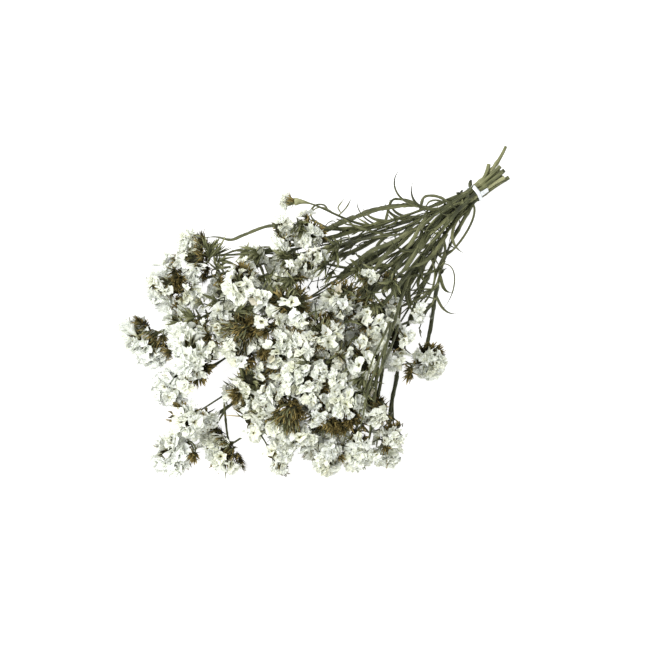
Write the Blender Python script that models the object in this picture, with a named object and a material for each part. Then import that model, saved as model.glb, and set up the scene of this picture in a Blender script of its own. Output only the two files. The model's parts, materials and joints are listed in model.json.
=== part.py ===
"""A tied bunch of dried white statice, lying on a table. Metres, +Z up.

Each spray is one winged stem with its branches, its curled leaf blades and the
spiky bracts behind its flower heads. Each flower head is one body of papery
florets that stand out of a slim core. A plastic band ties the stems.
The cut ends point along +X, and the heads fan out towards -X.
"""

import random
from math import cos, pi, radians, sin

import bpy
import numpy as np
from mathutils.geometry import convex_hull_2d

MM = 0.001
GAP = 0.3 * MM

# Stems
STEM_RADIUS = 2.0 * MM
STEM_TIP_RADIUS = 1.3 * MM
STEM_WING = 3.0 * MM
STEM_TIP_WING = 1.9 * MM
WING_START = 45 * MM
BRANCH_RADIUS = 1.4 * MM
BRANCH_TIP_RADIUS = 1.1 * MM
BRANCH_WING = 1.7 * MM
SLACK = 1.1 * MM
STEM_PITCH = 4.4 * MM
BEAD_STEP = 5 * MM
BEND_SPARE = 1.08
FORK_SHARE = 0.58
CUT_SPREAD = 0.15
CUT_RISE = 0.25
AXIS_PULL = np.array((-2.0, 0, 0.15))
MAIN_LEAVE = 0.33
MAIN_ARRIVE = 0.2
MAIN_ARRIVE_MOST = 45 * MM
BRANCH_LEAVE = 0.3
BRANCH_TURN = 0.5
BRANCH_ARRIVE = 0.25
BRANCH_ARRIVE_MOST = 30 * MM
TUBE_TOLERANCE = 0.9 * MM

# The band, and the stems' cells inside it, row by row from the table up
BAND_WIDTH = 5 * MM
BAND_THICKNESS = 0.9 * MM
TIED_HALF_LENGTH = 8 * MM
BUNDLE_ROWS = (3, 4, 3, 2)
ROW_RISE = STEM_PITCH * cos(pi / 6)
LOWEST_CELL = BAND_THICKNESS + GAP + STEM_RADIUS
BAND_HEIGHT = LOWEST_CELL + 1.5 * ROW_RISE

# Leaf blades
LEAVES_PER_SPRAY = 3
LEAF_HALF_WIDTH = 1.3 * MM
LEAF_THICKNESS = 1.0 * MM
LEAF_CLEAR = LEAF_HALF_WIDTH + MM
LEAF_TRIES = 60
LEAF_BEADS = (4, 26)
LEAF_LENGTHS = (38 * MM, 75 * MM)
LEAF_STEPS = 7
LEAF_FIRST_BEND = 0.45
LEAF_TURNS = (0.9, 2.6)
LEAF_WAVE = 0.15

# Bracts
BRACT_REACH = 0.88
BRACT_INNER_REACH = 0.7
BRACT_VALLEY = 0.5
BRACT_SEAT = 0.4
BRACT_TOOTH = 7.5 * MM

# Florets
FLORET_SIZE = 14.5 * MM
REACH_SHARE = 1.2
BACK_SHARE = 0.6
SINK_SHARE = 0.2
STEM_SINK = 0.6
CORE_SHARE = 0.33
CORE_SETBACK = 0.28
WRAP = radians(88)
POLE_WRAP = radians(66)
LEAST_HEIGHT = 0.88
MOST_HEIGHT = 1.04
RIM_SHARE = 0.9
RAY_JITTER = 0.32
CUP_DEPTH = 0.27
CUP_WAVE = 0.07
PRESSED = 1.5 * MM

# Settling
HEAD_SLACK = 1.6 * MM
HEAD_GIVE = 0.3
NEAR_MARGIN = 12 * MM
STUB_BEADS = 5
HOME_PULL = 0.01
SIGHT_PULL = 0.02

# The picture plane: the bunch's axis lies this far below its horizontal, and it
# looks down on the table at this elevation.
PICTURE_BEARING = radians(39)
PICTURE_ELEVATION = radians(70)

# One row for each stem: its row and place in the bundle, how far its cut end
# stands out of the band and how far that end leans aside. Then its heads, the
# leading one first. A head's numbers are its centre right of the band, down from
# it and up from the table as the picture shows them, all in millimetres, the way
# that it faces in the picture and its tilt up from the table, in degrees, and its
# length and width. A head that is 0 up presses its lowest petals on the table.
SPRAYS = (
    (2, 2, 30, 9, (
        (-287, 69, 45, 183, -10, 58, 36),
        (-190, 13, 60, 190, 5, 18, 17),
        (-199, 43, 54, 215, 40, 27, 28),
        (-174, 48, 64, 240, 45, 34, 32),
    )),
    (0, 2, 30, 2, (
        (-312, 94, 0, 183, -5, 66, 42),
        (-258, 103, 30, 200, 45, 28, 34),
        (-236, 98, 70, 240, 45, 34, 40),
        (-198, 82, 44, 240, 50, 30, 34),
    )),
    (1, 3, 58, 12, (
        (-333, 154, 0, 220, -15, 62, 34),
        (-298, 136, 44, 200, 60, 36, 36),
        (-210, 104, 48, 240, 60, 30, 38),
        (-253, 130, 44, 210, 50, 28, 32),
    )),
    (3, 1, 36, 1, (
        (-308, 197, 36, 215, 45, 38, 34),
        (-282, 160, 62, 190, 60, 64, 42),
        (-243, 146, 56, 212, -20, 46, 42),
    )),
    (0, 1, 32, 0, (
        (-300, 260, 0, 235, 40, 42, 42),
        (-290, 232, 42, 240, 45, 44, 32),
        (-238, 212, 44, 222, 45, 30, 30),
        (-206, 200, 30, 225, 50, 32, 34),
    )),
    (2, 1, 38, -1, (
        (-260, 262, 0, 216, -10, 64, 36),
        (-223, 187, 60, 225, 60, 32, 33),
        (-205, 166, 32, 225, 50, 36, 40),
    )),
    (3, 0, 34, 0, (
        (-198, 264, 18, 200, 30, 36, 20),
        (-224, 224, 40, 230, 40, 42, 38),
        (-190, 224, 68, 245, -15, 44, 42),
        (-176, 184, 74, 230, 70, 44, 44),
    )),
    (0, 0, 36, -2, (
        (-156, 266, 0, 262, 20, 42, 36),
        (-192, 246, 36, 255, 15, 36, 30),
        (-145, 228, 60, 262, -15, 40, 34),
        (-150, 190, 50, 240, 60, 40, 42),
    )),
    (1, 2, 36, 1, (
        (-124, 264, 24, 278, 25, 36, 36),
        (-138, 212, 62, 260, 60, 40, 40),
        (-104, 222, 30, 262, 10, 26, 30),
        (-118, 176, 66, 270, 55, 34, 36),
    )),
    (1, 1, 34, 0, (
        (-91, 264, 0, 275, 20, 28, 28),
        (-84, 245, 34, 285, 25, 28, 22),
        (-82, 155, 40, 290, 45, 30, 30),
    )),
    (1, 0, 38, -1, (
        (-55, 172, 0, 272, 20, 38, 36),
        (-92, 130, 44, 290, 45, 26, 26),
        (-110, 153, 60, 270, 55, 32, 36),
        (-92, 94, 46, 262, 45, 17, 17),
    )),
    (2, 0, 33, -2, (
        (-194, 160, 76, 225, 75, 40, 46),
        (-190, 128, 86, 215, 70, 44, 44),
        (-164, 150, 84, 250, 70, 42, 44),
        (-139, 114, 74, 240, 60, 36, 38),
        (-138, 146, 60, 260, 55, 32, 34),
        (-170, 78, 74, 240, 50, 28, 26),
    )),
)


def from_picture(right, away, up):
    """A vector given by the picture's right, the way off across the table, and up."""
    c, s = cos(PICTURE_BEARING), sin(PICTURE_BEARING)
    return np.array((right * c + away * s, away * c - right * s, up))


SIGHT = from_picture(0, -cos(PICTURE_ELEVATION), sin(PICTURE_ELEVATION))


def unit(vector):
    return vector / np.linalg.norm(vector)


def bezier(a, b, c, d, count):
    t = np.linspace(0, 1, count)[:, None]
    return (1 - t) ** 3 * a + 3 * (1 - t) ** 2 * t * b + 3 * (1 - t) * t**2 * c + t**3 * d


class Head:
    """Where one flower head is, which way it faces, and its half sizes."""

    def __init__(self, name, right, down, up, facing, tilt, length, width):
        a, t = radians(facing), radians(tilt)
        self.name = name
        self.rests = up == 0
        self.face = cos(t) * from_picture(cos(a), sin(a), 0) + np.array((0, 0, sin(t)))
        self.spine = from_picture(-sin(a), cos(a), 0)
        self.side = np.cross(self.face, self.spine)
        self.half_length = length * MM / 2
        self.half_width = width * MM / 2
        self.reach = REACH_SHARE * self.half_width
        self.back = BACK_SHARE * self.half_width
        self.bract_sink = SINK_SHARE * self.reach
        self.centre = np.zeros(3)
        petals = min(corner[2] for corner in floret_head(self)[0])
        bracts = min(corner[2] for corner in bract_star(self)[0])
        self.lowest = max(-petals - PRESSED, GAP - bracts)
        height = max(up * MM, self.lowest)
        drop = (height - BAND_HEIGHT) * cos(PICTURE_ELEVATION)
        away = -(down * MM + drop) / sin(PICTURE_ELEVATION)
        self.centre = from_picture(right * MM, away, height)

    def core(self):
        """The centre of the ellipsoids that the florets stand between."""
        return self.centre - CORE_SETBACK * self.reach * self.face

    def root(self):
        """The point inside the bracts where the head's stem ends."""
        return self.core() - (GAP + STEM_SINK * self.back) * self.face

    def beads(self):
        """Offsets of the spheres that stand for the head while the bunch settles."""
        spare = max(self.half_length - self.half_width, 0)
        return [share * spare * self.spine for share in (-1, -0.33, 0.33, 1)]


class Course:
    """The line of a stem or a branch, as beads a few millimetres apart."""

    def __init__(self, spray, points, head, parent=None, fixed=0):
        self.spray = spray
        self.points = points
        self.head = head
        self.parent = parent
        self.fixed = fixed

    def clearances(self):
        """Radius to keep clear round each bead: wings and a crossing stem's slack."""
        if self.parent:
            return np.full(len(self.points), BRANCH_WING + SLACK)
        beyond = np.clip(-self.points[:, 0] / WING_START, 0, 1)
        return STEM_PITCH / 2 + beyond * (STEM_WING + SLACK - STEM_PITCH / 2)


def cell(row, place):
    """A stem's place across the band and up from the table."""
    across = (place - (BUNDLE_ROWS[row] - 1) / 2) * STEM_PITCH
    return across, LOWEST_CELL + row * ROW_RISE


def bead_count(start, end):
    return max(STUB_BEADS, round(BEND_SPARE * np.linalg.norm(end - start) / BEAD_STEP))


def main_course(spray, row, place, cut, lean, head):
    """A stem's line from its cut end through the band to its leading head."""
    across, up = cell(row, place)
    straight = np.arange(cut * MM, -TIED_HALF_LENGTH, -BEAD_STEP)
    splay = (np.clip(straight - TIED_HALF_LENGTH, 0, None) / (cut * MM - TIED_HALF_LENGTH)) ** 2
    tied = np.column_stack((
        straight,
        across * (1 + CUT_SPREAD * splay) + lean * MM * splay,
        up + (up - LOWEST_CELL) * CUT_RISE * splay,
    ))
    start, end = tied[-1], head.root()
    far = np.linalg.norm(end - start)
    leave = start + MAIN_LEAVE * far * unit(unit(end - start) + AXIS_PULL)
    arrive = end - min(MAIN_ARRIVE * far, MAIN_ARRIVE_MOST) * head.face
    free = bezier(start, leave, arrive, end, bead_count(start, end))[1:]
    return Course(spray, np.concatenate((tied, free)), head, fixed=len(tied))


def branch_course(main, head):
    """A side branch's line, from the fork on its stem to its own head."""
    reach = np.linalg.norm(head.centre[:2])
    beyond = np.linalg.norm(main.points[:, :2], axis=1)
    beyond[: main.fixed] = 0
    fork = int(np.argmin(abs(beyond - FORK_SHARE * reach)))
    start, end = main.points[fork], head.root()
    onward = unit(main.points[fork + 2] - start)
    far = np.linalg.norm(end - start)
    leave = start + BRANCH_LEAVE * far * unit(onward + BRANCH_TURN * unit(end - start))
    arrive = end - min(BRANCH_ARRIVE * far, BRANCH_ARRIVE_MOST) * head.face
    points = bezier(start, leave, arrive, end, bead_count(start, end))
    return Course(main.spray, points, head, parent=(main, fork))


def lay_out():
    """All heads, and the courses of all stems and branches, before they settle."""
    heads, courses = [], []
    for spray, (row, place, cut, lean, rows) in enumerate(SPRAYS):
        own = [Head(f"head_{spray + 1:02d}_{n + 1}", *numbers) for n, numbers in enumerate(rows)]
        main = main_course(spray, row, place, cut, lean, own[0])
        heads += own
        courses.append(main)
        courses += [branch_course(main, head) for head in own[1:]]
    return heads, courses


def settle(heads, courses, steps=500, refresh=10):
    """Bends the courses and shifts the heads until nothing touches.

    Touching beads push each other apart. A course keeps its own curve and bends
    smoothly, a head gives way mostly along the line of sight, and both stay
    above the table.
    """
    first = np.cumsum([0] + [len(c.points) for c in courses])
    homes = np.concatenate([c.points for c in courses])
    bead_total = len(homes)
    offsets = np.array([offset for h in heads for offset in h.beads()])
    owner = np.repeat(np.arange(len(heads)), 4)
    head_homes = np.array([h.centre for h in heads])
    head_floor = np.array([h.lowest for h in heads])
    resting = np.array([h.rests for h in heads])
    clear = np.concatenate(
        [c.clearances() for c in courses] + [np.full(4, h.half_width + HEAD_SLACK) for h in heads]
    )
    give = np.concatenate((np.ones(bead_total), np.full(len(owner), HEAD_GIVE)))
    spray_of = np.concatenate(
        [np.full(len(c.points), c.spray) for c in courses] + [np.full(len(owner), -1)]
    )
    head_of = np.concatenate((np.full(bead_total, -1), owner))
    exempt = spray_of[:, None] == spray_of[None, :]
    exempt[bead_total:, bead_total:] = owner[:, None] == owner[None, :]
    roots, parents, tips, tip_heads, inner = [], [], [], [], []
    for number, course in enumerate(courses):
        low, high = first[number], first[number + 1]
        which = heads.index(course.head)
        give[low : low + course.fixed] = 0
        own = np.nonzero(head_of == which)[0]
        stub = np.arange(high - STUB_BEADS, high)
        exempt[np.ix_(stub, own)] = True
        exempt[np.ix_(own, stub)] = True
        tips += [high - 2, high - 1]
        tip_heads += [which, which]
        inner += list(range(low + max(course.fixed, 1), high - 2))
        if course.parent:
            main, fork = course.parent
            roots.append(low)
            parents.append(first[courses.index(main)] + fork)
    inner = np.array(inner)
    shift = np.zeros((bead_total, 3))
    head_shift = np.zeros((len(heads), 3))
    across_sight = np.eye(3) - np.outer(SIGHT, SIGHT)
    for step in range(steps):
        beads = np.concatenate((homes + shift, (head_homes + head_shift)[owner] + offsets))
        if step % refresh == 0:
            square = (beads**2).sum(1)
            apart = square[:, None] + square[None, :] - 2 * beads @ beads.T
            near = apart < (clear[:, None] + clear[None, :] + NEAR_MARGIN) ** 2
            one, two = np.nonzero(np.triu(near & ~exempt, 1))
        between = beads[two] - beads[one]
        distance = np.linalg.norm(between, axis=1)
        lack = np.clip(clear[one] + clear[two] - distance, 0, None)
        push = between / distance[:, None] * lack[:, None]
        total = np.maximum(give[one] + give[two], 1e-9)
        move = np.zeros_like(beads)
        hits = np.zeros(len(beads))
        np.add.at(move, one, -push * (give[one] / total)[:, None])
        np.add.at(move, two, push * (give[two] / total)[:, None])
        np.add.at(hits, one, lack > 0)
        np.add.at(hits, two, lack > 0)
        move /= np.maximum(hits, 1)[:, None]
        shift += move[:bead_total]
        for axis in range(3):
            pushed = np.bincount(owner, move[bead_total:, axis], len(heads))
            touched = np.bincount(owner, hits[bead_total:] > 0, len(heads))
            head_shift[:, axis] += pushed / np.maximum(touched, 1)
        head_shift -= HOME_PULL * head_shift + SIGHT_PULL * head_shift @ across_sight
        head_shift[:, 2] = np.maximum(head_shift[:, 2], head_floor - head_homes[:, 2])
        head_shift[resting, 2] = 0
        shift[:, 2] = np.maximum(shift[:, 2], clear[:bead_total] * 0.8 - homes[:, 2])
        for _ in range(2):
            shift[tips] = head_shift[tip_heads]
            shift[roots] = shift[parents]
            middle = (shift[inner - 1] + shift[inner + 1]) / 2
            shift[inner] += 0.5 * (middle - shift[inner])
        for number, course in enumerate(courses):
            shift[first[number] : first[number] + course.fixed] = 0
    for number, course in enumerate(courses):
        course.points = (homes + shift)[first[number] : first[number + 1]]
    for head, moved in zip(heads, head_shift):
        head.centre = head.centre + moved


def clear_of(points, radius, beads, clear):
    """Whether a line of points keeps off all the beads, and off the table."""
    closer = np.concatenate((points, (points[:-1] + points[1:]) / 2))
    apart = np.linalg.norm(closer[:, None] - beads[None], axis=2)
    return (apart > radius + clear[None]).all() and points[:, 2].min() > 1.5 * radius


def grow_leaves(heads, courses):
    """Curled blades on the stems, each where a seeded draw finds it room."""
    leaves = []
    head_beads = np.array([head.centre + offset for head in heads for offset in head.beads()])
    head_clear = np.repeat([head.half_width + 2 * MM for head in heads], 4)
    for main in [c for c in courses if not c.parent]:
        draw = random.Random(main.spray)
        others = [c for c in courses if c.spray != main.spray]
        blades = [leaf for _, leaf in leaves]
        beads = np.concatenate([c.points for c in others] + [head_beads] + blades)
        clear = np.concatenate(
            [c.clearances() for c in others] + [head_clear] + [np.full(len(b), LEAF_CLEAR) for b in blades]
        )
        grown = 0
        for _ in range(LEAF_TRIES):
            at = main.fixed + draw.randrange(*LEAF_BEADS)
            length = draw.uniform(*LEAF_LENGTHS)
            leaf = curl(main.points[at], main.points[at + 1] - main.points[at], length, draw)
            if grown < LEAVES_PER_SPRAY and clear_of(leaf[1:], LEAF_HALF_WIDTH + 0.6 * MM, beads, clear):
                leaves.append((main.spray, leaf))
                grown += 1
                beads = np.concatenate((beads, leaf))
                clear = np.concatenate((clear, np.full(len(leaf), LEAF_CLEAR)))
    return leaves


def curl(start, along, length, draw):
    """A leaf blade's line: it leaves its stem and curls over more and more."""
    heading = unit(along)
    aside = unit(np.cross(heading, [draw.uniform(-1, 1) for _ in range(3)]))
    axis = np.cross(heading, aside)
    turn = draw.uniform(*LEAF_TURNS)
    points = [start]
    for n in range(LEAF_STEPS):
        share = n / LEAF_STEPS
        angle = LEAF_FIRST_BEND + turn * share**1.5
        step = cos(angle) * heading + sin(angle) * aside + LEAF_WAVE * sin(3 * share) * axis
        points.append(points[-1] + unit(step) * length / LEAF_STEPS)
    return np.array(points)


def thinned(points, tolerance):
    """Indices of the points that keep the line within a tolerance."""
    chord = points[-1] - points[0]
    offset = points - points[0]
    along = np.clip(offset @ chord / (chord @ chord), 0, 1)
    miss = np.linalg.norm(offset - along[:, None] * chord, axis=1)
    worst = int(miss.argmax())
    if miss[worst] < tolerance or len(points) < 3:
        return [0, len(points) - 1]
    left = thinned(points[: worst + 1], tolerance)
    right = thinned(points[worst:], tolerance)
    return left + [worst + index for index in right[1:]]


def kept_beads(course):
    """The beads that a tube keeps: always those at both ends of the tied length."""
    points = course.points
    tied = [n for n in range(course.fixed) if points[n][0] < TIED_HALF_LENGTH]
    kept = [0]
    for pin in tied[:1] + tied[-1:] + [len(points) - 1]:
        start = kept[-1]
        if pin > start:
            kept += [start + n for n in thinned(points[start : pin + 1], TUBE_TOLERANCE)[1:]]
    return kept


def frames(points, twist):
    """Two vectors across the line at each point, carried along it without a jump."""
    tangents = np.gradient(points, axis=0)
    tangents /= np.linalg.norm(tangents, axis=1)[:, None]
    start = np.array((0.3, 0.2, 1.0)) if abs(tangents[0][2]) < 0.9 else np.array((1.0, 0, 0))
    across = unit(start - (start @ tangents[0]) * tangents[0])
    pairs = []
    travelled = 0.0
    for n, tangent in enumerate(tangents):
        across = unit(across - (across @ tangent) * tangent)
        if n:
            travelled += np.linalg.norm(points[n] - points[n - 1])
        angle = twist * travelled
        other = np.cross(tangent, across)
        turned = cos(angle) * across + sin(angle) * other
        pairs.append((turned, np.cross(tangent, turned)))
    return pairs


def section(wing, radius, sides):
    """A cross-section: a keeled blade, a flat diamond, or a round body with two wings."""
    if sides == 3:
        return [(wing, -0.5 * radius), (0, radius), (-wing, -0.5 * radius)]
    if sides == 4:
        return [(wing, 0), (0, radius), (-wing, 0), (0, -radius)]
    return [
        (wing, 0), (0.5 * radius, 0.87 * radius), (-0.5 * radius, 0.87 * radius),
        (-wing, 0), (-0.5 * radius, -0.87 * radius), (0.5 * radius, -0.87 * radius),
    ]


def tube(points, wings, radii, sides, twist):
    """Corners and triangles of a stem, branch or blade along a line of points."""
    corners, faces = [], []
    for point, pair, wing, radius in zip(points, frames(points, twist), wings, radii):
        corners += [point + u * pair[0] + v * pair[1] for u, v in section(wing, radius, sides)]
    for n in range(len(points) - 1):
        for k in range(sides):
            a, b = n * sides + k, n * sides + (k + 1) % sides
            c, d = b + sides, a + sides
            faces += [(a, b, c), (a, c, d)] if 2 * k % sides == 0 else [(a, b, d), (b, c, d)]
    last = (len(points) - 1) * sides
    faces.append(tuple(range(sides))[::-1])
    faces.append(tuple(range(last, last + sides)))
    return corners, faces


def solid(name, corners, faces):
    mesh = bpy.data.meshes.new(name)
    mesh.from_pydata([tuple(c) for c in corners], [], faces)
    mesh.update()
    made = bpy.data.objects.new(name, mesh)
    bpy.context.scene.collection.objects.link(made)
    return made


def combine(base, others, operation):
    """Joins or cuts a solid with others in one Boolean, applies it and removes them."""
    group = bpy.data.collections.new(base.name + "_group")
    bpy.context.scene.collection.children.link(group)
    for other in others:
        bpy.context.scene.collection.objects.unlink(other)
        group.objects.link(other)
    boolean = base.modifiers.new("combine", "BOOLEAN")
    boolean.operand_type = "COLLECTION"
    boolean.collection = group
    boolean.operation = operation
    boolean.solver = "MANIFOLD"
    bpy.context.view_layer.update()
    made = bpy.data.meshes.new_from_object(base.evaluated_get(bpy.context.evaluated_depsgraph_get()))
    base.modifiers.clear()
    base.data = made
    for other in others:
        bpy.data.objects.remove(other)
    bpy.data.collections.remove(group)


def stem_tube(course):
    """A stem or a branch, with its wings full width away from the band."""
    draw = random.Random(len(course.points) * 31 + course.spray)
    kept = kept_beads(course)
    points = course.points[kept]
    share = np.array(kept) / (len(course.points) - 1)
    if course.parent:
        radii = BRANCH_RADIUS + share * (BRANCH_TIP_RADIUS - BRANCH_RADIUS)
        wings = BRANCH_WING + share * (BRANCH_RADIUS - BRANCH_WING)
        return tube(points, wings, radii, 3, draw.uniform(-12, 12))
    radii = STEM_RADIUS + share * (STEM_TIP_RADIUS - STEM_RADIUS)
    beyond = np.clip((-points[:, 0] - TIED_HALF_LENGTH) / WING_START, 0, 1)
    full = STEM_WING + share * (STEM_TIP_WING - STEM_WING)
    return tube(points, radii + beyond * (full - radii), radii, 6, draw.uniform(8, 16))


def leaf_tube(leaf, number):
    draw = random.Random(number)
    share = np.linspace(0, 1, len(leaf))
    taper = np.clip(1.25 * (1 - share**2), 0.3, 1)
    return tube(leaf, LEAF_HALF_WIDTH * taper, LEAF_THICKNESS / 1.5 * taper, 3, draw.uniform(-8, 8))


def bract_ring(head):
    """The bracts' outer ring behind a head, seen from the core: tips and valleys in turn."""
    draw = random.Random(head.name)
    teeth = max(5, round(1.6 * (head.half_length + head.half_width) / BRACT_TOOTH))
    ring = []
    for n in range(2 * teeth):
        turn = pi * n / teeth
        reach = BRACT_VALLEY if n % 2 else draw.uniform(BRACT_INNER_REACH, BRACT_REACH)
        over = cos(turn) * head.half_length * head.spine + sin(turn) * head.half_width * head.side
        ring.append(reach * over - (GAP + head.bract_sink) * head.face)
    return ring


def bract_star(head):
    """The spiky bracts behind a head: a shallow cone with pointed teeth."""
    ring = bract_ring(head)
    corners = [head.core() - (GAP + head.back) * head.face]
    for n in range(4):
        turn = radians(45 + 90 * n)
        over = cos(turn) * head.half_length * head.spine + sin(turn) * head.half_width * head.side
        corners.append(head.core() + BRACT_SEAT * over - GAP * head.face)
    corners += [head.core() + point for point in ring]
    faces = [(1, 2, 3, 4)]
    count = len(ring)
    for n in range(count):
        a, b = 5 + n, 5 + (n + 1) % count
        seat = 1 + int(4 * (n + 0.5) / count) % 4
        following = 1 + int(4 * (n + 1.5) / count) % 4
        faces += [(0, b, a), (a, b, seat)]
        if following != seat:
            faces.append((b, following, seat))
    return corners, faces


class Florets:
    """A head's florets: cells of a slim core, and how high each stands at its corners.

    A cell is drawn out along rays that spread from the core, so that no floret
    can meet its neighbour.
    """

    def __init__(self, head):
        draw = random.Random(head.name)
        self.outer = np.array((head.half_length, head.half_width, head.reach))
        self.inner = CORE_SHARE * self.outer
        self.axes = np.array((head.spine, head.side, head.face))
        self.across = max(2, round(1.6 * WRAP * head.half_width / FLORET_SIZE))
        self.along = max(1, round(1.9 * POLE_WRAP * head.half_length / FLORET_SIZE))
        row = self.across + 1
        self.rays = []
        for i in range(self.along + 1):
            for j in range(row):
                theta = POLE_WRAP * (2 * i / self.along - 1)
                phi = WRAP * (2 * j / self.across - 1)
                if 0 < j < self.across:
                    theta += draw.uniform(-RAY_JITTER, RAY_JITTER) * POLE_WRAP / self.along
                    phi += draw.uniform(-RAY_JITTER, RAY_JITTER) * WRAP / self.across
                self.rays.append(self.ray(theta, phi))
        self.cells = []
        for i in range(self.along):
            for j in range(self.across):
                a = i * row + j
                self.cells.append((a, a + row, a + row + 1, a + 1))
        self.cells.append(tuple(range(row)))
        self.cells.append(tuple(range(self.along * row, self.along * row + row))[::-1])
        self.heights = []
        self.shares = []
        for cell_corners in self.cells:
            height = draw.uniform(LEAST_HEIGHT, MOST_HEIGHT)
            self.heights.append([height + draw.uniform(-CUP_WAVE, CUP_WAVE) for _ in cell_corners])
            self.shares.append(RIM_SHARE * draw.uniform(0.92, 1.04))

    @staticmethod
    def ray(theta, phi):
        """A point of a sphere that is fuller towards its two ends."""
        fuller = (abs(sin(theta)) ** 3 + cos(theta) ** 3) ** (-1 / 3)
        return fuller * np.array((sin(theta), cos(theta) * sin(phi), cos(theta) * cos(phi)))

    def rim(self, number):
        """A cell's rim corners, drawn in a little so that neighbours stay apart."""
        rim = []
        for index, height in zip(self.cells[number], self.heights[number]):
            rim.append(((1 - height) * self.inner + height * self.outer) * self.rays[index])
        middle = sum(rim) / len(rim)
        return middle, [middle + self.shares[number] * (corner - middle) for corner in rim]


def floret_head(head):
    """A head's florets as one solid: flared walls and dimpled tops over the core."""
    florets = Florets(head)
    core = head.core()
    corners = [core + (florets.inner * ray) @ florets.axes for ray in florets.rays]
    faces = []
    for number, cell_corners in enumerate(florets.cells):
        middle, rim = florets.rim(number)
        start = len(corners)
        corners += [core + corner @ florets.axes for corner in rim]
        corners.append(core + (1 - CUP_DEPTH) * middle @ florets.axes)
        count = len(cell_corners)
        for n in range(count):
            a, b = cell_corners[n], cell_corners[(n + 1) % count]
            c, d = start + (n + 1) % count, start + n
            faces += [(a, b, c), (a, c, d), (d, c, start + count)]
    row = florets.across + 1
    for i in range(florets.along):
        faces.append((i * row, i * row + row - 1, (i + 1) * row + row - 1, (i + 1) * row))
    return corners, faces


def band():
    """The plastic band round the stems, a ring that is flat where it rests."""
    cells = [cell(row, place) for row, count in enumerate(BUNDLE_ROWS) for place in range(count)]
    samples = [(radians(15 * n), centre) for centre in cells for n in range(24)]

    def offset(radius):
        return [(y + radius * cos(a), z + radius * sin(a)) for a, (y, z) in samples]

    hull = convex_hull_2d(offset(STEM_RADIUS + GAP))
    inside = [offset(STEM_RADIUS + GAP)[n] for n in hull]
    outside = [offset(STEM_RADIUS + GAP + BAND_THICKNESS)[n] for n in hull]
    count = len(inside)
    corners, faces = [], []
    for x, line in ((-1, inside), (-1, outside), (1, outside), (1, inside)):
        corners += [(x * BAND_WIDTH / 2, y, z) for y, z in line]
    for ring in range(4):
        for n in range(count):
            a, b = ring * count + n, ring * count + (n + 1) % count
            c, d = (b + count) % (4 * count), (a + count) % (4 * count)
            faces.append((a, d, c, b))
    return corners, faces


def table_block():
    """A block that fills the space below the table's surface."""
    corners = [(x, y, z) for x in (-1, 1) for y in (-1, 1) for z in (-1, 0)]
    return corners, [(0, 1, 3, 2), (4, 6, 7, 5), (0, 4, 5, 1), (2, 3, 7, 6), (0, 2, 6, 4), (1, 5, 7, 3)]


def finish(name, colour, roughness):
    material = bpy.data.materials.new(name)
    material.use_nodes = True
    shader = material.node_tree.nodes["Principled BSDF"]
    shader.inputs["Base Color"].default_value = (*colour, 1)
    shader.inputs["Roughness"].default_value = roughness
    shader.inputs["Metallic"].default_value = 0
    return material


def outward(made):
    """Turns a solid's faces out where its formula runs the other way."""
    mesh = made.data
    volume = 0.0
    mesh.calc_loop_triangles()
    for triangle in mesh.loop_triangles:
        a, b, c = (mesh.vertices[n].co for n in triangle.vertices)
        volume += a.dot(b.cross(c))
    if volume < 0:
        mesh.flip_normals()
    return made


def build():
    for old in list(bpy.data.objects):
        bpy.data.objects.remove(old)
    heads, courses = lay_out()
    settle(heads, courses)
    leaves = grow_leaves(heads, courses)
    green = finish("stem_green", (0.19, 0.20, 0.08), 0.8)
    white = finish("floret_white", (0.86, 0.86, 0.78), 0.75)
    plastic = finish("band_white", (0.85, 0.87, 0.87), 0.3)
    nodes = []
    for spray in range(len(SPRAYS)):
        own = [c for c in courses if c.spray == spray]
        blades = [leaf for number, leaf in leaves if number == spray]
        stem = outward(solid(f"stem_{spray + 1:02d}", *stem_tube(own[0])))
        parts = [stem_tube(c) for c in own[1:]] + [bract_star(c.head) for c in own]
        parts += [leaf_tube(blade, n) for n, blade in enumerate(blades)]
        combine(stem, [outward(solid("joined", *part)) for part in parts], "UNION")
        stem.data.materials.clear()
        stem.data.materials.append(green)
        nodes.append(stem)
    for head in heads:
        florets = outward(solid(head.name, *floret_head(head)))
        if min(v.co.z for v in florets.data.vertices) < 0:
            combine(florets, [outward(solid("table", *table_block()))], "DIFFERENCE")
        florets.data.materials.clear()
        florets.data.materials.append(white)
        nodes.append(florets)
    tie = outward(solid("tie", *band()))
    tie.data.materials.append(plastic)
    nodes.append(tie)
    corners = np.array([v.co for node in nodes for v in node.data.vertices])
    middle = (corners.min(0) + corners.max(0)) / 2
    bunch = bpy.data.objects.new("bunch", None)
    bpy.context.scene.collection.objects.link(bunch)
    bunch.location = (-middle[0], -middle[1], 0)
    for node in nodes:
        node.parent = bunch


build()
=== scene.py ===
"""The looks of a tied bunch of dried white statice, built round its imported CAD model.

Metres, +Z up. The layout below is the part's own: the same table, the same
settling of stems and heads, and the same blades. On it, each head gets its
single papery calyxes, each spray its winged stems, leaves and pointed bracts,
and the band its wound film.
"""

import json
import random
from math import cos, pi, radians, sin

import bpy
import numpy as np
from mathutils import Matrix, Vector
from mathutils.geometry import convex_hull_2d

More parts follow.
